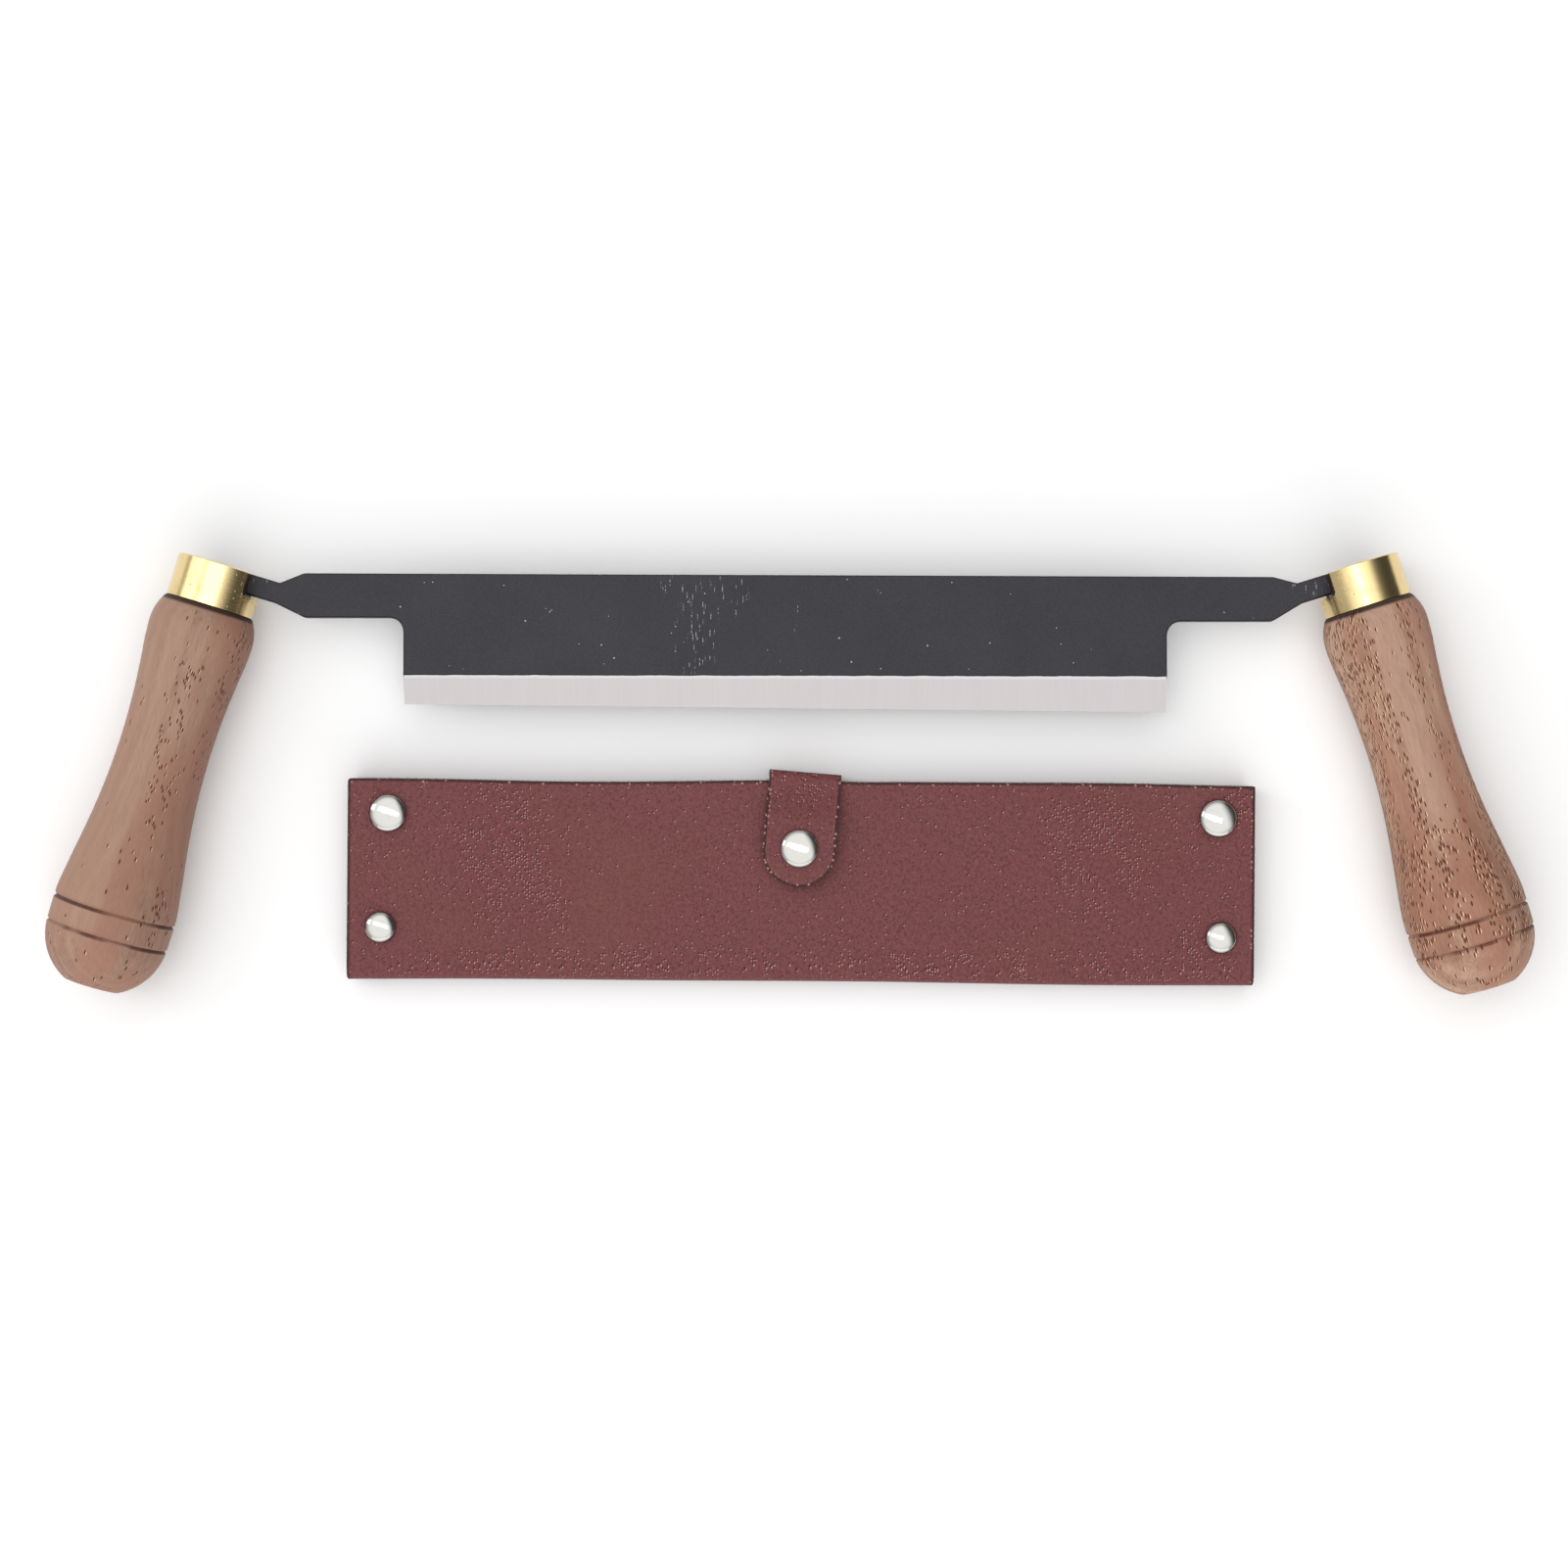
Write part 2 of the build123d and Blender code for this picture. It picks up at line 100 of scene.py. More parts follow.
class Finish:  # one material, mixed up node by node

    def __init__(self, name, fixed):
        self.material = bpy.data.materials.new(name)
        self.material.use_nodes = True
        self.tree = self.material.node_tree
        self.shader = next(n for n in self.tree.nodes if n.type == "BSDF_PRINCIPLED")
        for key, value in fixed.items():
            self.shader.inputs[key].default_value = value

    def node(self, kind, inputs=None, **settings):
        return addNode(self.tree, kind, inputs, **settings)

    def calc(self, operation, *values):
        return addMath(self.tree, operation, *values)

    def times(self, first, second):
        return self.calc("MULTIPLY", first, second)

    def most(self, first, second):
        return self.calc("MAXIMUM", first, second)

    def total(self, *terms):  # a pair among the terms is a value and its share
        whole = None
        for term in terms:
            part = self.times(*term) if isinstance(term, tuple) else term
            whole = part if whole is None else self.calc("ADD", whole, part)
        return whole

    def gap(self, value, middle):
        return self.calc("ABSOLUTE", self.calc("SUBTRACT", value, middle))

    def wander(self, noise, width):  # noise swung to both sides of nothing
        return self.times(self.calc("SUBTRACT", noise, 0.5), width)

    def place(self, origin=(0, 0, 0), turn=(0, 0, 0)):  # object coordinates seen from a turned frame
        back = Matrix.Rotation(-turn[2], 3, "Z") @ Matrix.Rotation(-turn[0], 3, "X")
        spot = -(back @ Vector(origin))
        source = self.node("ShaderNodeTexCoord").outputs["Object"]
        inputs = {"Vector": source, "Location": spot, "Rotation": back.to_euler()}
        return self.node("ShaderNodeMapping", inputs).outputs[0]

    def surface(self, mapName):
        return self.node("ShaderNodeUVMap", uv_map=mapName).outputs[0]

    def stretch(self, vector, amounts, operation="MULTIPLY"):
        inputs = {0: vector, 1: amounts}
        return self.node("ShaderNodeVectorMath", inputs, operation=operation).outputs[0]

    def shift(self, vector, amounts):
        return self.stretch(vector, amounts, "ADD")

    def parts(self, vector):
        return self.node("ShaderNodeSeparateXYZ", {0: vector}).outputs

    def noise(self, vector, scale, detail=2.0, rough=0.5, bend=0.0):
        inputs = {"Vector": vector, "Scale": scale, "Detail": detail}
        inputs.update({"Roughness": rough, "Distortion": bend})
        return self.node("ShaderNodeTexNoise", inputs).outputs[0]

    def bands(self, value, scale, detail=2.0):  # noise along one measure only
        inputs = {"W": value, "Scale": scale, "Detail": detail}
        return self.node("ShaderNodeTexNoise", inputs, noise_dimensions="1D").outputs[0]

    def cells(self, vector, scale, space="3D"):  # distance to the cell's middle, and its chance
        inputs = {"Vector": vector, "Scale": scale}
        cell = self.node("ShaderNodeTexVoronoi", inputs, voronoi_dimensions=space).outputs
        return cell["Distance"], self.node("ShaderNodeSeparateColor", {0: cell["Color"]}).outputs[0]

    def fade(self, value, start, end):  # 0 before start, 1 past end; start may be the larger
        steps = (start, end, 0.0, 1.0) if start < end else (end, start, 1.0, 0.0)
        return addRange(self.tree, value, *steps)

    def mix(self, factor, first, second, mode="MIX"):
        node = self.node("ShaderNodeMix", data_type="RGBA", blend_type=mode)
        for key, value in ((0, factor), (6, first), (7, second)):
            if isinstance(value, bpy.types.NodeSocket):
                self.tree.links.new(value, node.inputs[key])
            else:
                node.inputs[key].default_value = value if key == 0 else (*value, 1.0)
        return node.outputs[2]

    def over(self, colour, paint, where, strength):  # paint laid on a colour, at most this thick
        return self.mix(self.times(where, strength), colour, paint)

    def dots(self, vector, scale, size, density, space="3D"):  # one small spot in some of the cells
        distance, chance = self.cells(vector, scale, space)
        chosen = self.calc("LESS_THAN", chance, density)
        return self.times(self.fade(distance, size, size * 0.5), chosen)

    def bump(self, height, depth):
        inputs = {"Height": height, "Distance": depth, "Strength": 1.0}
        return self.node("ShaderNodeBump", inputs).outputs[0]

    def done(self, colour, roughness, normal=None):
        for key, value in (("Base Color", colour), ("Roughness", roughness), ("Normal", normal)):
            if value is not None:
                self.tree.links.new(value, self.shader.inputs[key])
        return self.material


def fromScreen(*shown):  # a colour as a screen shows it, red, green and blue from 0 to 255
    levels = [level / 255 for level in shown]
    return tuple(v / 12.92 if v < 0.0404 else ((v + 0.055) / 1.055) ** 2.4 for v in levels)


# the knife lies on its pommels, which are thicker than its shoulders, so it slopes
knifeLie = {
    "slopeDegrees": 1.789,
    "height": 0.01519,
    "seatX": 0.1507,
    "seatY": 0.0559,
    "splayDegrees": {"left": 17.0, "right": 17.3},
}
slope = math.radians(knifeLie["slopeDegrees"])


def handleFrame(side):  # where a handle starts, and how it is turned
    sign = -1 if side == "left" else 1
    x, y = sign * knifeLie["seatX"], knifeLie["seatY"]
    seat = Vector((x, y * math.cos(slope), knifeLie["height"] - y * math.sin(slope)))
    return seat, sign * math.radians(knifeLie["splayDegrees"][side])


bladeLook = {
    "scale": fromScreen(46, 45, 50),
    "scaleWorn": fromScreen(57, 56, 61),
    "arris": fromScreen(22, 21, 24),
    "steel": fromScreen(196, 191, 192),
    "speck": fromScreen(200, 200, 206),
    "thickness": 0.0040,
    "bevelTop": 0.02640,  # where the grinding starts, at the middle of the blade
    "bevelSlope": -0.00197,
    "bevelWobble": 0.00035,
    "darkLineWidth": (0.00050, 0.00015),  # the dark line above the grinding, from faint to full
    "highlightWidth": (0.0010, 0.0004),  # a painted highlight, the bright line below it
    "honedBack": 0.0215,
    "specks": [(300, 0.08, 0.14), (900, 0.18, 0.020)],  # cells a metre, size, share of the cells
    "marked": 0.85,
    "relief": 0.00005,
    "scratchPatches": [  # x, y, half width, half height
        (-0.0245, 0.0385, 0.0052, 0.0130),
        (-0.0160, 0.0480, 0.0050, 0.0060),
        (0.0018, 0.0400, 0.0012, 0.0060),
        (-0.0300, 0.0500, 0.0040, 0.0030),
        (0.1385, 0.0510, 0.0060, 0.0030),
        (-0.1385, 0.0510, 0.0040, 0.0020),
    ],
}


def patches(finish, x, y, spots, softness=0.6):  # soft ovals
    whole = 0.0
    for spotX, spotY, width, height in spots:
        across = finish.calc("DIVIDE", finish.calc("SUBTRACT", x, spotX), width)
        along = finish.calc("DIVIDE", finish.calc("SUBTRACT", y, spotY), height)
        reach = finish.total((across, across), (along, along))
        whole = finish.most(whole, finish.fade(reach, 1.0 + softness, 1.0 - softness))
    return whole


def makeBladeSteel(look):
    finish = Finish("blackScaleAndGroundSteel", {"Specular IOR Level": 0.25})
    flat = finish.place((0, 0, knifeLie["height"]), (-slope, 0, 0))
    x, y, z = finish.parts(flat)
    half = look["thickness"] / 2
    # black forging scale, darker on the bar's narrow sides
    cloud = finish.noise(flat, 45, 3, 0.6)
    fine = finish.noise(flat, 2300, 4, 0.7)
    tone = finish.total((cloud, 0.25), (fine, 0.75))
    scale = finish.mix(finish.fade(tone, 0.35, 0.65), look["scale"], look["scaleWorn"])
    specks = finish.most(*[finish.dots(flat, *kind) for kind in look["specks"]])
    thin = finish.dots(finish.stretch(flat, (1, 0.08, 1)), 3300, 0.36, 0.34)
    broken = finish.fade(finish.noise(flat, 1500, 2), 0.44, 0.54)
    patch = patches(finish, x, y, look["scratchPatches"])
    marks = finish.most(specks, finish.times(finish.times(thin, broken), patch))
    scale = finish.over(scale, look["speck"], marks, look["marked"])
    sides = finish.fade(finish.calc("ABSOLUTE", z), half - 0.00003, half - 0.00012)
    scale = finish.over(scale, look["arris"], sides, 0.8)
    # ground bevel, with the wheel's marks square to the edge
    wobble = finish.wander(finish.noise(flat, 260, 4), look["bevelWobble"])
    line = finish.total((x, look["bevelSlope"]), look["bevelTop"], wobble)
    under = finish.calc("SUBTRACT", line, y)
    notBack = finish.fade(z, 0.00005 - half, 0.00010 - half)
    onDarkLine = finish.fade(under, *[-width for width in look["darkLineWidth"]])
    scale = finish.over(scale, look["arris"], finish.times(onDarkLine, notBack), look["marked"])
    onBevel = finish.times(finish.fade(under, -0.00002, 0.00002), notBack)
    honed = finish.fade(y, look["honedBack"], look["honedBack"] - 0.0004)
    onBack = finish.times(honed, finish.fade(z, 0.00010 - half, 0.00005 - half))
    ground = finish.most(onBevel, onBack)
    wheel = finish.noise(finish.stretch(flat, (1, 0.025, 0.025)), 2600, 3, 0.7)
    broad = finish.noise(finish.stretch(flat, (1, 0.1, 0.1)), 130, 2)
    # a painted highlight along the top of the bevel brightens the ground steel
    paintedHighlight = finish.fade(under, *look["highlightWidth"])
    shade = finish.total((wheel, 0.10), (broad, 0.05), (paintedHighlight, 0.16), 0.82)
    grey = finish.node("ShaderNodeCombineColor", {0: shade, 1: shade, 2: shade}).outputs[0]
    steel = finish.mix(1.0, look["steel"], grey, "MULTIPLY")
    finish.tree.links.new(ground, finish.shader.inputs["Metallic"])
    roughness = finish.total(0.50, (ground, -0.18), (fine, 0.12))
    rough = finish.times(finish.times(fine, 0.5), finish.calc("SUBTRACT", 1.0, ground))
    height = finish.total(rough, (finish.times(wheel, 0.25), ground), (marks, -0.5))
    colour = finish.mix(ground, scale, steel)
    return finish.done(colour, roughness, finish.bump(height, look["relief"]))


brassLook = {
    "colour": (0.80, 0.62, 0.315),
    "tarnish": (0.34, 0.24, 0.09),
    "bruiseSide": (0.0052, 0.0078),  # towards the blade, from none to full
    "bruiseDown": (0.0105, 0.0062),  # down the ferrule to the foot of the tang's notch
    "bruised": 0.45,
    "relief": 0.00005,
}


def makeBrass(side, look):
    finish = Finish("turnedBrass" + side.capitalize(), {"Metallic": 1.0})
    seat, turn = handleFrame(side)
    tube = finish.place(seat, (0, 0, turn))
    x, y, _ = finish.parts(tube)
    inward = finish.times(x, 1.0 if side == "left" else -1.0)
    turning = finish.noise(finish.stretch(tube, (0.03, 1, 0.03)), 5200, 2, 0.6)
    cloud = finish.noise(tube, 170, 3, 0.6)
    low, high = look["bruiseDown"]
    bruised = finish.times(finish.fade(inward, *look["bruiseSide"]), finish.fade(y, -low, -high))
    spots = finish.dots(tube, 1300, 0.36, finish.total((bruised, look["bruised"]), 0.015))
    dull = finish.total((finish.fade(cloud, 0.52, 0.78), 0.25), (spots, 0.55))
    colour = finish.mix(dull, look["colour"], look["tarnish"])
    roughness = finish.total(0.13, (cloud, 0.08), (turning, 0.06), (spots, 0.2))
    height = finish.total((turning, 0.35), (cloud, 0.6), (spots, -0.8))
    return finish.done(colour, roughness, finish.bump(height, look["relief"]))


walnutLook = {
    "both": {
        "seam": fromScreen(34, 18, 14),
        "stain": fromScreen(46, 32, 26),
        "seamDown": (0.0129, 0.0120),  # down the handle, the dark line at the ferrule
        "stainDown": (0.0070, 0.0062),  # and the glue on the hidden spigot
        "grip": 0.0135,  # radius where the pores have their true width
        "dash": 0.27,  # less draws the pores out longer
        "glintAside": (-0.00022, 0.00004, 0),  # from a pore to its painted glint
        "endGrain": (0.0135, 0.0120),  # radius on the pommel's dome, from none to full
        "ringWidth": (0.00065, 0.00030),
        "relief": 0.00012,
    },
    "left": {
        "dark": fromScreen(126, 90, 74),
        "light": fromScreen(170, 137, 118),
        "warm": fromScreen(158, 112, 94),
        "pore": fromScreen(70, 34, 26),
        "glint": fromScreen(226, 186, 154),
        "pores": 0.34,
        "poreRun": 0.30,
        "poreBand": (0.46, 0.62),
        "poreScale": 1950,
        "glints": 0.42,
        "rings": (0.0958, 0.1026),
        "pith": (0.020, 0.046),
        "swellShade": 0.0,
        "quiet": (-0.0100, 0.0090, 0.110),  # across, half width, how far down it runs
        "pale": fromScreen(170, 138, 118),
    },
    "right": {
        "dark": fromScreen(134, 94, 76),
        "light": fromScreen(196, 160, 137),
        "warm": fromScreen(163, 113, 92),
        "pore": fromScreen(84, 38, 26),
        "glint": fromScreen(244, 204, 162),
        "pores": 0.66,
        "poreRun": 0.08,
        "poreBand": (0.40, 0.54),
        "poreScale": 1750,
        "glints": 0.62,
        "rings": (0.0982, 0.1046),
        "pith": (-0.012, 0.040),
        "swellShade": -0.10,
        "quiet": (0.0000, 0.0036, 0.078),
        "pale": fromScreen(186, 152, 134),
    },
}


def makeWalnut(side, look):
    finish = Finish("walnut" + side.capitalize(), {"Specular IOR Level": 0.25})
    seat, turn = handleFrame(side)
    wood = finish.place(seat, (0, 0, turn))
    x, y, z = finish.parts(wood)
    down = finish.times(y, -1.0)
    lastRing = look["rings"][1]

    def grain(slow, scale, detail, rough=0.5):  # noise drawn out along the handle
        return finish.noise(finish.stretch(wood, (1, slow, 1)), scale, detail, rough)

    def lengthOf(first, second):
        return finish.calc("SQRT", finish.total((first, first), (second, second)))

    sway = finish.wander(grain(0.4, 28, 2), 0.010)
    across = finish.calc("ADD", x, look["pith"][0])
    upward = finish.calc("ADD", z, look["pith"][1])
    year = finish.bands(finish.calc("ADD", lengthOf(across, upward), sway), 300, 3)
    streak = grain(0.07, 420, 3, 0.6)
    fibre = grain(0.10, 2200, 3, 0.7)
    cloud = grain(0.22, 85, 2)
    stem = finish.fade(down, lastRing + 0.004, lastRing)  # 1 down to the rings, 0 on the dome
    swell = finish.times(finish.times(finish.fade(down, 0.062, 0.082), stem), look["swellShade"])
    tone = finish.total((year, 0.40), (streak, 0.22), (fibre, 0.48), -0.05, swell)
    colour = finish.mix(finish.fade(tone, 0.22, 0.72), look["dark"], look["light"])
    colour = finish.over(colour, look["warm"], finish.fade(cloud, 0.42, 0.62), 0.60)
    # a paler, quieter band with few pores
    middle, half, end = look["quiet"]
    beside = finish.fade(finish.gap(x, middle), half + 0.0012, half - 0.0006)
    quiet = finish.times(beside, finish.fade(down, end, end - 0.012))
    quiet = finish.times(quiet, finish.fade(z, -0.002, 0.002))
    colour = finish.over(colour, look["pale"], quiet, 0.45)
    # open pores, each a short dark dash with a painted glint beside it, and dots on the dome's end grain
    gather = finish.total((grain(look["poreRun"], 140, 2), 0.80), (year, 0.20))
    density = finish.total((finish.fade(gather, *look["poreBand"]), look["pores"]), 0.02)
    density = finish.times(density, finish.total(1.0, (quiet, -0.88)))
    density = finish.times(density, finish.total((stem, 0.60), 0.40))
    endGrain = finish.fade(lengthOf(x, z), *look["endGrain"])
    endGrain = finish.times(endGrain, finish.fade(down, lastRing, lastRing + 0.003))
    density = finish.times(density, finish.total(1.0, (endGrain, -1.0)))
    around = finish.times(finish.calc("ARCTAN2", x, z), look["grip"])
    inputs = {0: around, 1: finish.times(y, look["dash"]), 2: 0.0}
    drawn = finish.node("ShaderNodeCombineXYZ", inputs).outputs[0]
    pore = finish.dots(drawn, look["poreScale"], 0.46, density, "2D")
    pore = finish.most(pore, finish.dots(wood, 1500, 0.42, finish.times(endGrain, 0.30)))
    glintShare = finish.times(density, look["glints"])
    # each glint is a painted highlight on the pore's edge
    glint = finish.dots(finish.shift(drawn, look["glintAside"]), look["poreScale"], 0.34, glintShare, "2D")
    colour = finish.over(colour, look["glint"], glint, 0.92)
    colour = finish.over(colour, look["pore"], pore, 0.90)
    # burnt lines in the two turned rings and at the ferrule
    burn = 0.0
    for ring in look["rings"]:
        burn = finish.most(burn, finish.fade(finish.gap(down, ring), *look["ringWidth"]))
    uneven = finish.fade(finish.noise(wood, 75, 2), 0.42, 0.56)
    colour = finish.over(colour, look["pore"], burn, finish.total((uneven, 0.70), 0.10))
    colour = finish.over(colour, look["seam"], finish.fade(down, *look["seamDown"]), 0.92)
    colour = finish.over(colour, look["stain"], finish.fade(down, *look["stainDown"]), 0.85)
    roughness = finish.total(0.52, (fibre, 0.15), (pore, 0.2))
    height = finish.total((fibre, 0.3), (pore, -0.5), (glint, 0.1))
    return finish.done(colour, roughness, finish.bump(height, look["relief"]))


nickelLook = {
    "colour": (0.53, 0.52, 0.495),
    "stain": (0.34, 0.32, 0.29),
    # rim: painted shade on the heads' steep rims
    "rim": (0.05, 0.045, 0.04),
    "rimShadeSlope": (0.62, 0.30),  # how far the metal faces up, where the painted shade on the rim starts and is full
    "relief": 0.00003,
}


def makeNickel(look):
    finish = Finish("nickelPlate", {"Metallic": 1.0})
    spot = finish.place()
    cloud = finish.noise(spot, 350, 3, 0.6)
    scuff = finish.dots(finish.stretch(spot, (1, 0.3, 1)), 2200, 0.2, 0.10)
    dull = finish.total((finish.fade(cloud, 0.55, 0.8), 0.2), (scuff, 0.3))
    colour = finish.mix(dull, look["colour"], look["stain"])
    # the steep rim of each head is painted dark, a painted shade where the light falls off
    facing = finish.parts(finish.node("ShaderNodeTexCoord").outputs["Normal"])[2]
    rimShade = finish.fade(finish.calc("ABSOLUTE", facing), *look["rimShadeSlope"])
    colour = finish.over(colour, look["rim"], rimShade, 0.85)
    roughness = finish.total(0.05, (cloud, 0.05), (scuff, 0.2))
    return finish.done(colour, roughness, finish.bump(cloud, look["relief"]))


def makeSpringSteel():
    finish = Finish("springSteel", {"Metallic": 1.0})
    drawn = finish.noise(finish.place(), 3000, 2)
    colour = finish.mix(drawn, (0.42, 0.42, 0.43), (0.60, 0.60, 0.60))
    return finish.done(colour, finish.total(0.25, (drawn, 0.15)), finish.bump(drawn, 0.00002))


def makeResin():
    finish = Finish("beddingResin", {"Specular IOR Level": 0.5})
    cloud = finish.noise(finish.place(), 900, 4, 0.6)
    colour = finish.mix(cloud, fromScreen(48, 34, 26), fromScreen(86, 60, 42))
    return finish.done(colour, finish.total(0.25, (cloud, 0.3)), finish.bump(cloud, 0.0002))


# leather finishes: the map holds each piece's flat cut, the attribute how far its cut edge is, in
# metres, and on the cover also how far the fold is, which carries painted shade there
hideMap = "hide"
edgeMap = "fromEdge"
leatherLook = {
    "colour": fromScreen(122, 68, 69),
    "deep": fromScreen(88, 44, 46),
    "brown": fromScreen(111, 71, 60),
    "light": fromScreen(190, 140, 136),
    "dark": fromScreen(48, 20, 22),
    "flesh": fromScreen(150, 104, 92),
    "fleshDark": fromScreen(112, 70, 62),
    "edge": fromScreen(46, 22, 22),
    "edgeLight": fromScreen(176, 128, 118),
    "pitAside": (0.00024, 0.00026, 0),  # from a pale fleck, partly a painted glint, to its dark pit, partly painted shade
    "burnishAndFoldShade": (0.00115, 0.00075),  # the dark border, burnished along cut edges and painted shade along the cover's fold, from faint to full
    "knocks": (0.00145, 0.00105),
    "grainRelief": 0.00009,
    "napRelief": 0.00025,
    "cutRelief": 0.0002,
    "coverWear": 0.27,
    "coverKnocks": 0.16,
    "coverSpots": [  # along, down from the mouth, half width, half height
        (-0.078, 0.020, 0.015, 0.019),
        (-0.068, 0.033, 0.009, 0.008),
        (0.083, 0.018, 0.019, 0.017),
        (0.104, 0.042, 0.007, 0.007),
        (-0.045, 0.0485, 0.058, 0.0035),
        (0.060, 0.0485, 0.055, 0.0040),
        (0.118, 0.005, 0.006, 0.006),
    ],
    "strapWear": 0.12,
    # the strap's pale specks along its border are mostly painted highlight, where its rim catches the
    # light
    "strapKnocks": 0.45,
    "strapSpots": [(0.0, 0.016, 0.008, 0.008)],
}


def makeGrainSide(name, part, look):
    finish = Finish(name, {"Specular IOR Level": 0.25})
    hide = finish.surface(hideMap)
    x, y, _ = finish.parts(hide)
    pebble, _ = finish.cells(hide, 2100)
    crease = finish.noise(hide, 1100, 4, 0.65, 0.6)
    fine = finish.noise(hide, 4200, 2)
    cloud = finish.noise(hide, 17, 2)
    tone = finish.total((crease, 0.6), (fine, 0.5), (pebble, -0.25))
    colour = finish.mix(finish.fade(tone, 0.25, 0.55), look["deep"], look["colour"])
    colour = finish.over(colour, look["brown"], finish.fade(cloud, 0.52, 0.75), 0.40)
    # tiny flecks and pits where the surface is rubbed; each pale fleck is partly a painted glint and the
    # dark pit beside it partly painted shade
    worn = patches(finish, x, y, look[part + "Spots"], 0.9)
    inputs = {"Vector": hide, "Angle": 0.7}
    turned = finish.node("ShaderNodeVectorRotate", inputs, rotation_type="Z_AXIS").outputs[0]
    slant = finish.noise(finish.stretch(turned, (1, 0.35, 1)), 120, 2)
    rubbed = finish.total((worn, look[part + "Wear"]), 0.03)
    crowd = finish.times(rubbed, finish.fade(slant, 0.30, 0.62))
    fleckAndGlint = finish.dots(hide, 1450, 0.36, crowd, "2D")
    pitAndShade = finish.dots(finish.shift(hide, look["pitAside"]), 1450, 0.42, crowd, "2D")
    colour = finish.over(colour, look["light"], fleckAndGlint, 0.90)
    colour = finish.over(colour, look["dark"], pitAndShade, 0.90)
    # a dark burnished line along the cut edges and painted shade along the cover's fold, with pale
    # specks from knocks
    border = finish.node("ShaderNodeAttribute", attribute_name=edgeMap).outputs["Fac"]
    ragged = finish.total(border, (finish.noise(hide, 650, 3), 0.0004))
    colour = finish.over(colour, look["edge"], finish.fade(ragged, *look["burnishAndFoldShade"]), 0.85)
    # pale specks near the edge: knocks on the cover, mostly painted highlight along the strap's rim
    knocksAndHighlight = finish.dots(hide, 1000, 0.42, look[part + "Knocks"], "2D")
    knocksAndHighlight = finish.times(knocksAndHighlight, finish.fade(ragged, *look["knocks"]))
    colour = finish.over(colour, look["edgeLight"], knocksAndHighlight, 0.85)
    roughness = finish.total(0.48, (crease, 0.18), (worn, 0.05))
    height = finish.total((crease, 0.55), (pebble, 0.45), (fine, 0.15), (fleckAndGlint, 0.5), (pitAndShade, -0.6))
    return finish.done(colour, roughness, finish.bump(height, look["grainRelief"]))


def makeFleshSide(look):
    fixed = {"Specular IOR Level": 0.15, "Sheen Weight": 0.2, "Sheen Roughness": 0.6}
    finish = Finish("leatherFleshSide", fixed)
    hide = finish.surface(hideMap)
    nap = finish.noise(hide, 2600, 4, 0.7, 1.0)
    tone = finish.total((nap, 0.7), (finish.noise(hide, 60, 3), 0.3))
    colour = finish.mix(finish.fade(tone, 0.30, 0.70), look["fleshDark"], look["flesh"])
    return finish.done(colour, finish.total(0.82, (nap, 0.12)), finish.bump(nap, look["napRelief"]))


def makeCutEdge(name, look, paleShare):
    finish = Finish(name, {"Specular IOR Level": 0.3})
    spot = finish.place()
    fibres = finish.noise(spot, 2300, 4, 0.7, 0.5)
    fleckAndGlint = finish.dots(spot, 1500, 0.45, paleShare)
    colour = finish.mix(finish.fade(fibres, 0.35, 0.75), look["edge"], look["fleshDark"])
    colour = finish.over(colour, look["edgeLight"], fleckAndGlint, 0.7)
    return finish.done(colour, finish.total(0.55, (fibres, 0.3)), finish.bump(fibres, look["cutRelief"]))


bladeSteel = makeBladeSteel(bladeLook)
nickel = makeNickel(nickelLook)
springSteel = makeSpringSteel()
resin = makeResin()
coverGrain = makeGrainSide("leatherGrainSide", "cover", leatherLook)
strapGrain = makeGrainSide("strapGrainSide", "strap", leatherLook)
fleshSide = makeFleshSide(leatherLook)
cutEdge = makeCutEdge("leatherCutEdge", leatherLook, 0.22)
# the strap's cut edge takes more pale specks, a painted highlight where its rim catches the light
strapEdge = makeCutEdge("strapCutEdge", leatherLook, 0.60)
print("finishes mixed:", len(bpy.data.materials))


def finishNode(name, material):
    for materialSlot in frame["nodes"][name].material_slots:
        materialSlot.material = material


finishNode("blade", bladeSteel)
for side in ("left", "right"):
    finishNode("ferrule_" + side, makeBrass(side, brassLook))
    finishNode("handle_" + side, makeWalnut(side, {**walnutLook["both"], **walnutLook[side]}))
    finishNode("tang_bed_" + side, resin)
for nodeName in frame["nodes"]:
    if nodeName.startswith(("rivet_", "snap_")) or nodeName == "strap_rivet":
        finishNode(nodeName, springSteel if nodeName == "snap_spring" else nickel)


# leather pieces: an outer and an inner skin on one grid, joined round the border


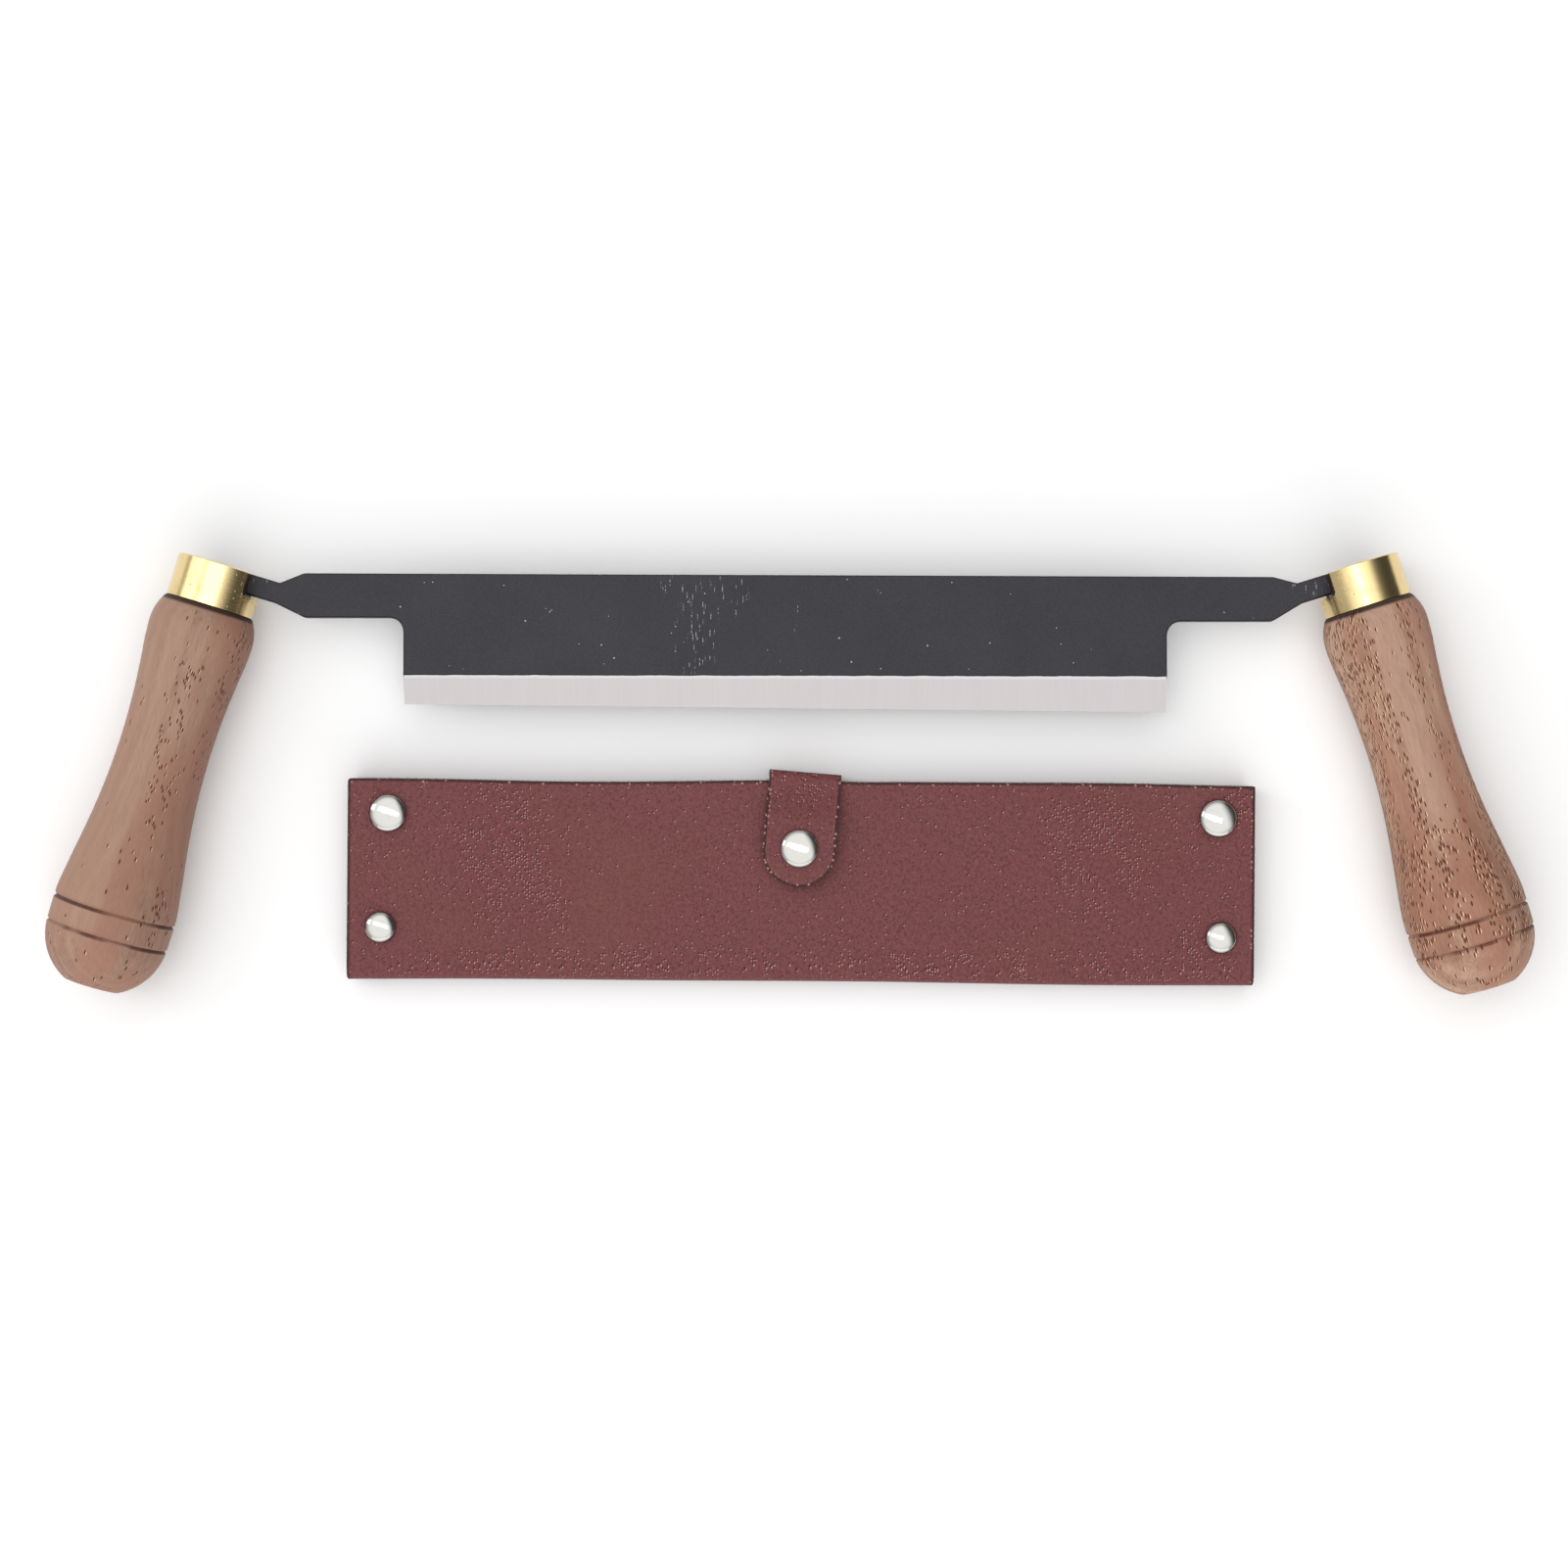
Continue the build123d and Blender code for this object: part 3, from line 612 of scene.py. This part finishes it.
def leatherPiece(name, outer, inner, flatCut, fromEdge, materials, plainStart=False, roundOver=0.00035):
    # materials are for the outer skin, the inner skin and the cut edge, in that order
    rows, columns = outer.shape[:2]
    points = np.concatenate([outer.reshape(-1, 3), inner.reshape(-1, 3)])
    count = rows * columns
    faces, kinds = [], []
    for r in range(rows - 1):
        for c in range(columns - 1):
            a = r * columns + c
            quad = (a, a + 1, a + columns + 1, a + columns)
            faces += [quad, tuple(count + i for i in reversed(quad))]
            kinds += [0, 1]
    border = list(range(columns))
    border += [r * columns + columns - 1 for r in range(1, rows)]
    border += [(rows - 1) * columns + c for c in range(columns - 2, -1, -1)]
    border += [r * columns for r in range(rows - 2, 0, -1)]
    for a, b in zip(border, border[1:] + border[:1]):
        faces.append((a, a + count, b + count, b))
        kinds.append(2)
    mesh = bpy.data.meshes.new(name)
    mesh.from_pydata(points.tolist(), [], faces)
    mesh.polygons.foreach_set("material_index", kinds)
    for material in materials:
        mesh.materials.append(material)
    shape = bmesh.new()
    shape.from_mesh(mesh)
    bmesh.ops.recalc_face_normals(shape, faces=shape.faces)
    cuts = flatCut.reshape(-1, 2)
    layer = shape.loops.layers.uv.new(hideMap)
    shape.verts.ensure_lookup_table()
    weights = shape.edges.layers.float.new("bevel_weight_edge")
    for face in shape.faces:
        for loop in face.loops:
            loop[layer].uv = cuts[loop.vert.index % count]
        face.smooth = True
    for edge in shape.edges:
        kindsHere = {face.material_index for face in edge.link_faces}
        atStart = plainStart and all(v.index % count < columns for v in edge.verts)
        if len(kindsHere) == 2 and not atStart:
            edge[weights] = 1.0
    shape.to_mesh(mesh)
    shape.free()
    gaps = np.tile(fromEdge.reshape(-1), 2).astype(np.float32)
    mesh.attributes.new(edgeMap, "FLOAT", "POINT").data.foreach_set("value", gaps)
    piece = addObject(name, mesh)
    bevel = piece.modifiers.new("roundedCut", "BEVEL")
    bevel.limit_method = "WEIGHT"
    bevel.width = roundOver
    bevel.segments = 3
    bevel.material = 2
    return piece


def smoothStep(value, start, end):
    t = np.clip((value - start) / (end - start), 0, 1)
    return t * t * (3 - 2 * t)


def boxMiddle(nodeName):
    low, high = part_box(nodeName)
    return (low + high) / 2, (high - low) / 2


coverCut = {
    "length": 0.2420,
    "height": 0.0536,
    "turnDegrees": -0.43,
    "leather": 0.0020,
    "cornerRadius": 0.0008,
    "rivetSink": 0.00030,
    "rivetSinkReach": (-0.0004, 0.0026),  # from the cap's rim, where the sink is full and where it ends
    "relief": 0.00016,
    "mouthWave": 0.00030,
    "foldWave": 0.00022,
    "weltWidth": 0.0165,
    "foldPress": 0.62,  # 1 is a round fold, less is pressed flatter
    "fineGrid": 0.0008,
    "plainGrid": 0.0020,
    "panelGrid": 0.0009,
    "cornerGrid": 0.0003,
}
coverLow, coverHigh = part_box("sheath_leather")
coverMiddle = (coverLow + coverHigh) / 2
foldRadius = (coverHigh.z - coverLow.z) / 2
mouth = coverCut["height"] / 2
panelCut = coverCut["height"] - foldRadius  # flat part of each panel
coverTurn = math.radians(coverCut["turnDegrees"])


def toCover(point):  # table coordinates to the cover's own: along, across
    d = Vector((point[0] - coverMiddle.x, point[1] - coverMiddle.y))
    c, s = math.cos(coverTurn), math.sin(coverTurn)
    return d.x * c + d.y * s, -d.x * s + d.y * c


def fromCover(along, across, height):
    c, s = math.cos(coverTurn), math.sin(coverTurn)
    x = coverMiddle.x + along * c - across * s
    y = coverMiddle.y + along * s + across * c
    return np.stack([x, y, height], axis=-1)


rivetNames = ["upper_left", "upper_right", "lower_left", "lower_right"]
rivetSpots = []
for rivetName in rivetNames:
    middle, half = boxMiddle("rivet_cap_" + rivetName)
    rivetSpots.append((*toCover(middle), half.x))


def coverSkin(along, down, inset):
    # down runs over the front panel, round the fold and up the back panel
    radius = foldRadius - inset
    angle = np.clip((down - panelCut) / foldRadius, 0, math.pi)
    onBack = down > panelCut + foldRadius * math.pi / 2
    flat = np.where(onBack, down - foldRadius * math.pi - panelCut, panelCut - down)
    press = coverCut["foldPress"]
    across = foldRadius - mouth + np.maximum(flat, 0) - radius * np.sin(angle) ** press
    height = coverMiddle.z + radius * np.sign(np.cos(angle)) * np.abs(np.cos(angle)) ** press
    facing = np.cos(angle)
    share = (across + mouth) / (2 * mouth)
    wave = np.sin(along * 31 + 0.6) + 0.6 * np.sin(along * 67 + 2.1)
    wave = wave - 0.9 * np.exp(-((along - 0.016) / 0.012) ** 2)  # pulled in beside the strap
    across = across + coverCut["mouthWave"] * wave * smoothStep(share, 0.5, 1.0)
    lowWave = np.sin(along * 24 + 2.4) + 0.5 * np.sin(along * 58 + 0.4)
    across = across + coverCut["foldWave"] * lowWave * (1 - smoothStep(share, 0.0, 0.5))
    corner, halfLength, welt = coverCut["cornerRadius"], coverCut["length"] / 2, coverCut["weltWidth"]
    past = np.clip(across - (mouth - corner), 0, corner)
    along = along * (1 - (corner - np.sqrt(corner ** 2 - past ** 2)) / halfLength)
    # the panels ripple between the welts, and lie still under the strap
    calm = smoothStep(halfLength - np.abs(along), welt, welt + 0.02)
    calm = calm * smoothStep(np.abs(along + 0.0005), 0.012, 0.03) * smoothStep(share, 0.02, 0.2)
    ripple = np.sin(along * 83 + across * 120) + np.sin(along * 41 - across * 150 + 1.3)
    height = height + coverCut["relief"] * ripple * calm * facing
    if inset == 0:
        full, end = coverCut["rivetSinkReach"]
        for spotAlong, spotAcross, spotRadius in rivetSpots:
            gap = np.hypot(along - spotAlong, across - spotAcross)
            sink = 1 - smoothStep(gap, spotRadius + full, spotRadius + end)
            height = height - coverCut["rivetSink"] * sink * np.sign(facing) * (np.abs(facing) > 0.99)
    return fromCover(along, across, height)


def spread(low, high, step):
    return np.linspace(low, high, max(2, round((high - low) / step) + 1))


def joined(*runs):
    return np.concatenate([runs[0]] + [run[1:] for run in runs[1:]])


def makeCover():
    halfLength, corner = coverCut["length"] / 2, coverCut["cornerRadius"]
    plainEnd = halfLength - coverCut["weltWidth"] - 0.004
    fine, plain, panel, tight = [coverCut[key + "Grid"] for key in ("fine", "plain", "panel", "corner")]
    alongStops = joined(
        spread(-halfLength, -plainEnd, fine),
        spread(-plainEnd, plainEnd, plain),
        spread(plainEnd, halfLength, fine),
    )
    foldEnd = panelCut + foldRadius * math.pi
    whole = 2 * panelCut + foldRadius * math.pi
    downStops = joined(
        spread(0, corner, tight),
        spread(corner, panelCut, panel),
        spread(panelCut, foldEnd, fine),
        spread(foldEnd, whole - corner, panel),
        spread(whole - corner, whole, tight),
    )
    along, down = np.meshgrid(alongStops, downStops, indexing="ij")
    outer = coverSkin(along, down, 0.0)
    inner = coverSkin(along, down, coverCut["leather"])
    flatCut = np.stack([along, down], axis=-1)
    fold = np.maximum(np.abs(down - whole / 2) - 0.0008, 0)  # painted shade along the fold, where it turns away from the light, drawn like a cut edge's dark line
    fromEdge = np.minimum.reduce([halfLength - np.abs(along), down, whole - down, fold])
    materials = [coverGrain, fleshSide, cutEdge]
    piece = leatherPiece("coverLeather", outer, inner, flatCut, fromEdge, materials)
    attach(piece, "sheath")
    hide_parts("sheath_leather")
    return piece, (coverCut["length"], whole)


coverLeather, coverFlat = makeCover()
print("cover folded from", [round(v, 4) for v in coverFlat])


def makeWelt(side):
    sign = -1 if side == "left" else 1
    halfLength = coverCut["length"] / 2
    nearEnd, farEnd = halfLength - coverCut["weltWidth"], halfLength - 0.0003
    gapRadius = foldRadius - coverCut["leather"]
    low = foldRadius - mouth
    alongStops = sign * spread(nearEnd, farEnd, 0.0011)
    nearMouth, top = mouth - 0.002, mouth - 0.0003
    acrossStops = joined(spread(low, nearMouth, 0.0012), spread(nearMouth, top, 0.0003))
    along, across = np.meshgrid(alongStops, acrossStops, indexing="ij")
    ragged = 0.00018 * np.sin(across * 900 + along * 300)
    inside = smoothStep(sign * along, farEnd - 0.002, farEnd)
    shownAlong = along - sign * inside * (0.0002 + ragged)
    thick = gapRadius * 0.995
    outer, inner = [
        fromCover(shownAlong, across, coverMiddle.z + rise + 0 * across) for rise in (thick, -thick)
    ]
    flatCut = np.stack([along, across], axis=-1)
    fromEdge = np.full(along.shape, coverCut["weltWidth"])
    materials = [fleshSide, fleshSide, cutEdge]
    name = "welt" + side.capitalize()
    piece = leatherPiece(name, outer, inner, flatCut, fromEdge, materials, roundOver=0.0004)
    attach(piece, "sheath")
    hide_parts("welt_" + side)


for side in ("left", "right"):
    makeWelt(side)

# the strap, bent along a rounded line

strapCut = {
    "width": 0.0194,
    "leather": 0.0016,
    "turnDegrees": -4.83,
    "foldRadius": 0.0012,
    "slopeRadius": 0.006,
    "tailEnd": -0.0062,
    "flapEnd": -0.0103,
    "slopeTop": 0.0075,
    "slopeFoot": 0.0153,
    "pinch": 0.018,
    "pinchReach": 0.0035,
    "capSink": 0.00022,
    "capSinkReach": (-0.0004, 0.0022),
    "fineRun": 0.009,  # how far the fine grid runs from the crossing stretch
    "fineGrid": 0.0003,
    "plainGrid": 0.0006,
    "endStops": 41,  # points across the strap, and round its end
    "bendStops": 13,
    "bendReach": 0.0015,
}
capMiddle, capHalf = boxMiddle("snap_cap")
strapTurn = math.radians(strapCut["turnDegrees"])
strapUp = Vector((-math.sin(strapTurn), math.cos(strapTurn), 0))
strapAcross = Vector((math.cos(strapTurn), math.sin(strapTurn), 0))
bends = {joint["name"]: Vector(joint["pos_m"]) for joint in frame["joints"] if joint["type"] == "hinge"}
backBend, frontBend = bends["strap_back_bend"], bends["strap_front_bend"]
bridgeAt = (backBend - Vector((capMiddle.x, capMiddle.y, 0))).dot(strapUp)
bridgeMiddle = (backBend.z + frontBend.z) / 2
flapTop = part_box("strap_flap")[1].z
halfLeather = strapCut["leather"] / 2


def roundedLine(corners, radii):  # a bent centre line and its running length
    line = [np.array(corners[0])]
    for before, corner, after, radius in zip(corners, corners[1:], corners[2:], radii):
        before, corner, after = np.array(before), np.array(corner), np.array(after)
        arriving = (corner - before) / np.linalg.norm(corner - before)
        leaving = (after - corner) / np.linalg.norm(after - corner)
        turn = math.acos(np.clip(arriving @ leaving, -1, 1))
        reach = radius * math.tan(turn / 2)
        inward = leaving - arriving
        centre = corner + inward / np.linalg.norm(inward) * radius / math.cos(turn / 2)
        first = corner - arriving * reach - centre
        side = np.sign(arriving[0] * leaving[1] - arriving[1] * leaving[0])
        for step in np.linspace(0, side * turn, strapCut["bendStops"]):
            c, s = math.cos(step), math.sin(step)
            line.append(centre + np.array([first[0] * c - first[1] * s, first[0] * s + first[1] * c]))
    line.append(np.array(corners[-1]))
    line = np.array(line)
    run = np.concatenate([[0], np.cumsum(np.linalg.norm(np.diff(line, axis=0), axis=1))])
    return line, run


def makeStrapPart(name, corners, radii, outerSide, mapSign):  # corners are (up the strap, height)
    line, run = roundedLine(corners, radii)
    whole, halfWidth, fineRun = run[-1], strapCut["width"] / 2, strapCut["fineRun"]
    endZone = whole - 2 * halfWidth
    turnSteps = np.radians(np.linspace(-90, 90, strapCut["endStops"]))
    fine, plain = strapCut["fineGrid"], strapCut["plainGrid"]
    runStops = joined(spread(0, fineRun, fine), spread(fineRun, whole, plain))
    along, swing = np.meshgrid(runStops, turnSteps, indexing="ij")
    roundEnd = whole - halfWidth * (1 - np.cos(swing))
    drawnIn = endZone + (along - endZone) * (roundEnd - endZone) / (whole - endZone)
    along = np.where(along > endZone, drawnIn, along)

    def at(place, axis):
        return np.interp(place, run, line[:, axis])

    up, height = at(along, 0), at(along, 1)
    small = 0.0002
    riseUp, riseHeight = [at(along + small, axis) - at(along - small, axis) for axis in (0, 1)]
    length = np.hypot(riseUp, riseHeight)
    normalUp, normalHeight = outerSide * riseHeight / length, -outerSide * riseUp / length
    fromBend = (along - run[1] - 0.001) / strapCut["pinchReach"]
    width = halfWidth * (1 - strapCut["pinch"] * np.exp(-fromBend ** 2))
    across = width * np.sin(swing)

    def skin(offset):
        if offset > 0:
            full, end = strapCut["capSinkReach"]
            sink = 1 - smoothStep(np.hypot(up, across), capHalf.x + full, capHalf.x + end)
            offset = offset - strapCut["capSink"] * sink * (height > bridgeMiddle)
        skinUp, skinHeight = up + normalUp * offset, height + normalHeight * offset
        skinPoints = np.array([capMiddle.x, capMiddle.y, 0])
        axes = (strapAcross, strapUp, (0, 0, 1))
        for amount, axis in zip((across, skinUp, skinHeight), axes):
            skinPoints = skinPoints + amount[..., None] * np.array(axis)
        return skinPoints

    flatCut = np.stack([across, mapSign * along + 0.024], axis=-1)
    fromEdge = halfWidth - np.hypot(np.maximum(along - endZone - halfWidth, 0), across)
    piece = leatherPiece(
        name, skin(halfLeather), skin(-halfLeather), flatCut, fromEdge,
        [strapGrain, fleshSide, strapEdge], plainStart=True, roundOver=0.0004,
    )
    return piece, whole


flapHeight = flapTop - halfLeather
flapCorners = [
    (bridgeAt, bridgeMiddle),
    (bridgeAt, frontBend.z),
    (strapCut["slopeFoot"], frontBend.z),
    (strapCut["slopeTop"], flapHeight),
    (strapCut["flapEnd"], flapHeight),
]
tailCorners = [(bridgeAt, bridgeMiddle), (bridgeAt, backBend.z), (strapCut["tailEnd"], backBend.z)]
bend, ease = strapCut["foldRadius"], strapCut["slopeRadius"]
strapFront, frontRun = makeStrapPart("strapFront", flapCorners, [bend, ease, ease], 1, -1)
strapBack, backRun = makeStrapPart("strapBack", tailCorners, [bend], -1, 1)
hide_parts("strap_flap", "strap_bridge")
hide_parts("strap_tail")
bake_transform(strapFront)
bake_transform(strapBack)
print("strap bent from", round(frontRun + backRun, 4), "of leather")

# node trees that make what repeats


def newTree(name, sockets):  # the tree, its inputs' identifiers, and what adds a node to it
    tree = bpy.data.node_groups.new(name, "GeometryNodeTree")
    tree.interface.new_socket("Geometry", in_out="INPUT", socket_type="NodeSocketGeometry")
    ids = {}
    for label, kind in sockets.items():
        socket = tree.interface.new_socket(label, in_out="INPUT", socket_type="NodeSocket" + kind)
        ids[label.lower()] = socket.identifier
    tree.interface.new_socket("Geometry", in_out="OUTPUT", socket_type="NodeSocketGeometry")

    def add(kind, inputs=None, **settings):
        return addNode(tree, kind, inputs, **settings).outputs

    return tree, ids, add


def readPoints(add, name):  # a vector stored on the points
    return add("GeometryNodeInputNamedAttribute", {"Name": name}, data_type="FLOAT_VECTOR")[0]


def endTree(add, inputs, material):  # an instance on every point, made real, with its material
    row = add("GeometryNodeInstanceOnPoints", inputs)[0]
    whole = add("GeometryNodeRealizeInstances", {0: row})[0]
    finished = add("GeometryNodeSetMaterial", {"Geometry": whole, "Material": material})[0]
    add("NodeGroupOutput", {0: finished})


def runTree(name, source, tree, ids, values):  # a plain mesh from what the tree makes
    maker = addObject(name, source)
    modifier = maker.modifiers.new(name, "NODES")
    modifier.node_group = tree
    for label, value in values.items():
        modifier[ids[label]] = value
    made = bpy.data.meshes.new_from_object(maker.evaluated_get(bpy.context.evaluated_depsgraph_get()))
    maker.modifiers.remove(modifier)
    made.name = name
    maker.data = made
    return maker


# domed heads of the rivets and of the press stud's cap
headLook = {
    "around": 72,
    "up": 48,
    "rim": 0.16,  # share of the height that stands straight up
    "fullness": 0.82,
    "rivetHeight": 0.0020,
    "studHeight": 0.0018,
}


def domedHeadTree():
    sockets = {"Around": "Int", "Up": "Int", "Rim": "Float", "Fullness": "Float", "Plating": "Material"}
    tree, ids, add = newTree("domedHeads", sockets)
    given = add("NodeGroupInput")
    inputs = {"Segments": given["Around"], "Rings": given["Up"], "Radius": 1.0}
    ball = add("GeometryNodeMeshUVSphere", inputs)["Mesh"]
    x, y, z = add("ShaderNodeSeparateXYZ", {0: add("GeometryNodeInputPosition")[0]})
    full = addMath(tree, "POWER", addMath(tree, "MAXIMUM", z, 0.0), given["Fullness"])
    rest = addMath(tree, "SUBTRACT", 1.0, given["Rim"])
    dome = addMath(tree, "MULTIPLY_ADD", full, rest, given["Rim"])
    height = addMath(tree, "MULTIPLY", dome, addMath(tree, "GREATER_THAN", z, -0.03))
    shaped = add("ShaderNodeCombineXYZ", {0: x, 1: y, 2: height})[0]
    head = add("GeometryNodeSetPosition", {"Geometry": ball, "Position": shaped})[0]
    smooth = add("GeometryNodeSetShadeSmooth", {0: head})[0]
    inputs = {"Points": given["Geometry"], "Instance": smooth, "Scale": readPoints(add, "headSize")}
    endTree(add, inputs, given["Plating"])
    return tree, ids


headTree, headIds = domedHeadTree()


def makeHeads(name, nodeNames, body, headHeight):
    middles, sizes = [], []
    for nodeName in nodeNames:
        low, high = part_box(nodeName)
        headRadius = (high.x - low.x) / 2
        middles.append(((low.x + high.x) / 2, (low.y + high.y) / 2, high.z - headHeight))
        sizes += [headRadius, headRadius, headHeight]
    points = bpy.data.meshes.new(name)
    points.from_pydata(middles, [], [])
    points.attributes.new("headSize", "FLOAT_VECTOR", "POINT").data.foreach_set("vector", sizes)
    values = {key: headLook[key] for key in ("around", "up", "rim", "fullness")}
    heads = runTree(name, points, headTree, headIds, {**values, "plating": nickel})
    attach(heads, body)
    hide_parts(*nodeNames)


capNames = ["rivet_cap_" + rivetName for rivetName in rivetNames]
makeHeads("rivetCaps", capNames, "sheath", headLook["rivetHeight"])
makeHeads("snapCap", ["snap_cap"], "strap_front", headLook["studHeight"])
print("domed heads set")

# loose fibres along the cover's cut edges
fibreLook = {
    "spacing": 0.00055,
    "length": 0.0004,
    "shortest": 0.25,  # share of the length
    "thickness": 0.00005,
    "lean": 0.9,
    "seed": 7,
    "depths": (0.0005, 0.0012),  # the two rows, below the leather's face
    "endGap": 0.002,
}


def fibreTree():
    sockets = {"Spacing": "Float", "Length": "Float", "Thickness": "Float"}
    tree, ids, add = newTree("cutFibres", {**sockets, "Seed": "Int", "Leather": "Material"})
    given = add("NodeGroupInput")
    line = add("GeometryNodeMeshToCurve", {0: given["Geometry"]})[0]
    inputs = {"Curve": line, "Length": given["Spacing"]}
    points = add("GeometryNodeCurveToPoints", inputs, mode="LENGTH")["Points"]
    inputs = {0: (-fibreLook["lean"],) * 3, 1: (fibreLook["lean"],) * 3, "Seed": given["Seed"]}
    loose = add("FunctionNodeRandomValue", inputs, data_type="FLOAT_VECTOR")[0]
    inputs = {0: readPoints(add, "outward"), 1: loose}
    leaning = add("ShaderNodeVectorMath", inputs, operation="ADD")[0]
    turned = add("FunctionNodeAlignRotationToVector", {"Vector": leaning}, axis="Z")[0]
    inputs = {"Vertices": 4, "Radius Top": 0.25, "Radius Bottom": 1.0, "Depth": 1.0}
    fibre = add("GeometryNodeMeshCone", inputs)["Mesh"]
    inputs = {2: fibreLook["shortest"], 3: 1.0, "Seed": given["Seed"]}
    share = add("FunctionNodeRandomValue", inputs, data_type="FLOAT")[1]
    length = addMath(tree, "MULTIPLY", share, given["Length"])
    sizes = add("ShaderNodeCombineXYZ", {0: given["Thickness"], 1: given["Thickness"], 2: length})[0]
    inputs = {"Points": points, "Instance": fibre, "Rotation": turned, "Scale": sizes}
    endTree(add, inputs, given["Leather"])
    return tree, ids


def makeFibreFinish(look):
    finish = Finish("leatherFibre", {"Specular IOR Level": 0.2})
    tone = finish.noise(finish.place(), 1200, 2)
    colour = finish.mix(finish.fade(tone, 0.35, 0.65), look["edge"], look["edgeLight"])
    return finish.done(colour, finish.total(0.8, (tone, 0.1)))


def makeEdgeFibres():
    whole = 2 * panelCut + foldRadius * math.pi
    halfLength, endGap = coverCut["length"] / 2, fibreLook["endGap"]
    stops = spread(-halfLength + endGap, halfLength - endGap, 0.002)
    downs = spread(endGap, whole - endGap, 0.001)
    c, s = math.cos(coverTurn), math.sin(coverTurn)
    points, outward, edges = [], [], []

    def addRow(along, down, facing, depth):
        first = len(points)
        points.extend(coverSkin(along, down, depth).tolist())
        outward.extend(facing * len(along))
        edges.extend((i, i + 1) for i in range(first, len(points) - 1))

    for depth in fibreLook["depths"]:
        for down in (0.0, whole):
            addRow(stops, np.full(len(stops), down), (-s, c, 0), depth)
        for sign in (-1, 1):
            addRow(np.full(len(downs), sign * halfLength), downs, (sign * c, sign * s, 0), depth)
    source = bpy.data.meshes.new("cutFibres")
    source.from_pydata(points, edges, [])
    source.attributes.new("outward", "FLOAT_VECTOR", "POINT").data.foreach_set("vector", outward)
    tree, ids = fibreTree()
    values = {key: fibreLook[key] for key in ("spacing", "length", "thickness", "seed")}
    values["leather"] = makeFibreFinish(leatherLook)
    fibres = runTree("cutFibres", source, tree, ids, values)
    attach(fibres, "sheath")
    return fibres


cutFibres = makeEdgeFibres()
print("cut edges frayed")

# table, light and camera
studio = {
    "tableSize": 4.0,
    "table": fromScreen(250, 250, 250),
    "lowSky": 0.55,
    "highSky": 1.50,
    "skyRise": (0.45, 0.90),  # how far up the sky brightens, 1 straight overhead
    "softboxes": [  # where it hangs, its width and height, watts
        ((-0.16, 0.05, 1.55), (0.22, 1.3), 2.3),
        ((-1.35, 0.45, 0.85), (0.5, 1.0), 2.2),
        ((0.0, -1.45, 0.80), (2.6, 0.9), 6.3),
    ],
    "shadowSide": (0.90, 0.32, 0.30),  # towards the dark side of the room
    "shadowReach": (0.55, 0.88),
    "shadowDepth": 0.88,
}


def makeTable():
    half = studio["tableSize"] / 2
    grid = bmesh.new()
    bmesh.ops.create_grid(grid, x_segments=8, y_segments=8, size=half)
    mesh = bpy.data.meshes.new("tableTop")
    grid.to_mesh(mesh)
    grid.free()
    mesh.transform(Matrix.Translation((0, 0, cadLow.z - 0.0001)))
    table = addObject("floorSheet", mesh)
    finish = Finish("whitePaper", {"Specular IOR Level": 0.1})
    grain = finish.noise(finish.place(), 900, 3)
    white = studio["table"]
    colour = finish.mix(grain, white, tuple(min(1.0, 1.01 * c) for c in white))
    mesh.materials.append(finish.done(colour, finish.total(0.85, (grain, 0.1))))


def makeSky():
    world = bpy.data.worlds.new("studioRoom")
    bpy.context.scene.world = world
    world.use_nodes = True
    tree = world.node_tree
    background = next(n for n in tree.nodes if n.type == "BACKGROUND")
    background.inputs["Color"].default_value = (1, 1, 1, 1)
    towards = addNode(tree, "ShaderNodeTexCoord").outputs["Generated"]
    inputs = {0: towards, 1: Vector(studio["shadowSide"]).normalized()}
    near = addNode(tree, "ShaderNodeVectorMath", inputs, operation="DOT_PRODUCT").outputs["Value"]
    shade = addRange(tree, near, *studio["shadowReach"], 1.0, 1.0 - studio["shadowDepth"])
    up = addNode(tree, "ShaderNodeSeparateXYZ", {0: towards}).outputs[2]
    rise = addRange(tree, up, *studio["skyRise"], studio["lowSky"], studio["highSky"])
    tree.links.new(addMath(tree, "MULTIPLY", shade, rise), background.inputs["Strength"])


def aimAt(thing, target):
    thing.rotation_euler = (Vector(target) - thing.location).to_track_quat("-Z", "Y").to_euler()


def hangSoftboxes():
    for number, (spot, size, watts) in enumerate(studio["softboxes"]):
        light = bpy.data.lights.new("softbox" + str(number + 1), "AREA")
        light.shape = "RECTANGLE"
        light.size, light.size_y = size
        light.energy = watts
        box = addObject(light.name, light)
        box.location = spot
        aimAt(box, (0, 0, 0))


cameraLook = {
    "height": 0.900,
    "besideMiddle": (-0.00154, -0.00283),
    "seenWidth": 0.4163,  # across the picture, at the blade's height
    "sensor": 36.0,
}


def setCamera():
    middle = (cadLow + cadHigh) / 2
    data = bpy.data.cameras.new("overhead")
    data.sensor_width = cameraLook["sensor"]
    toBlade = cameraLook["height"] - knifeLie["height"]
    data.lens = cameraLook["sensor"] * toBlade / cameraLook["seenWidth"]
    camera = addObject("overhead", data)
    aside, below = cameraLook["besideMiddle"]
    camera.location = (middle.x + aside, middle.y + below, cameraLook["height"])
    bpy.context.scene.camera = camera


makeTable()
makeSky()
hangSoftboxes()
setCamera()
bpy.context.scene.view_settings.view_transform = "Standard"
print("table, light and camera set")
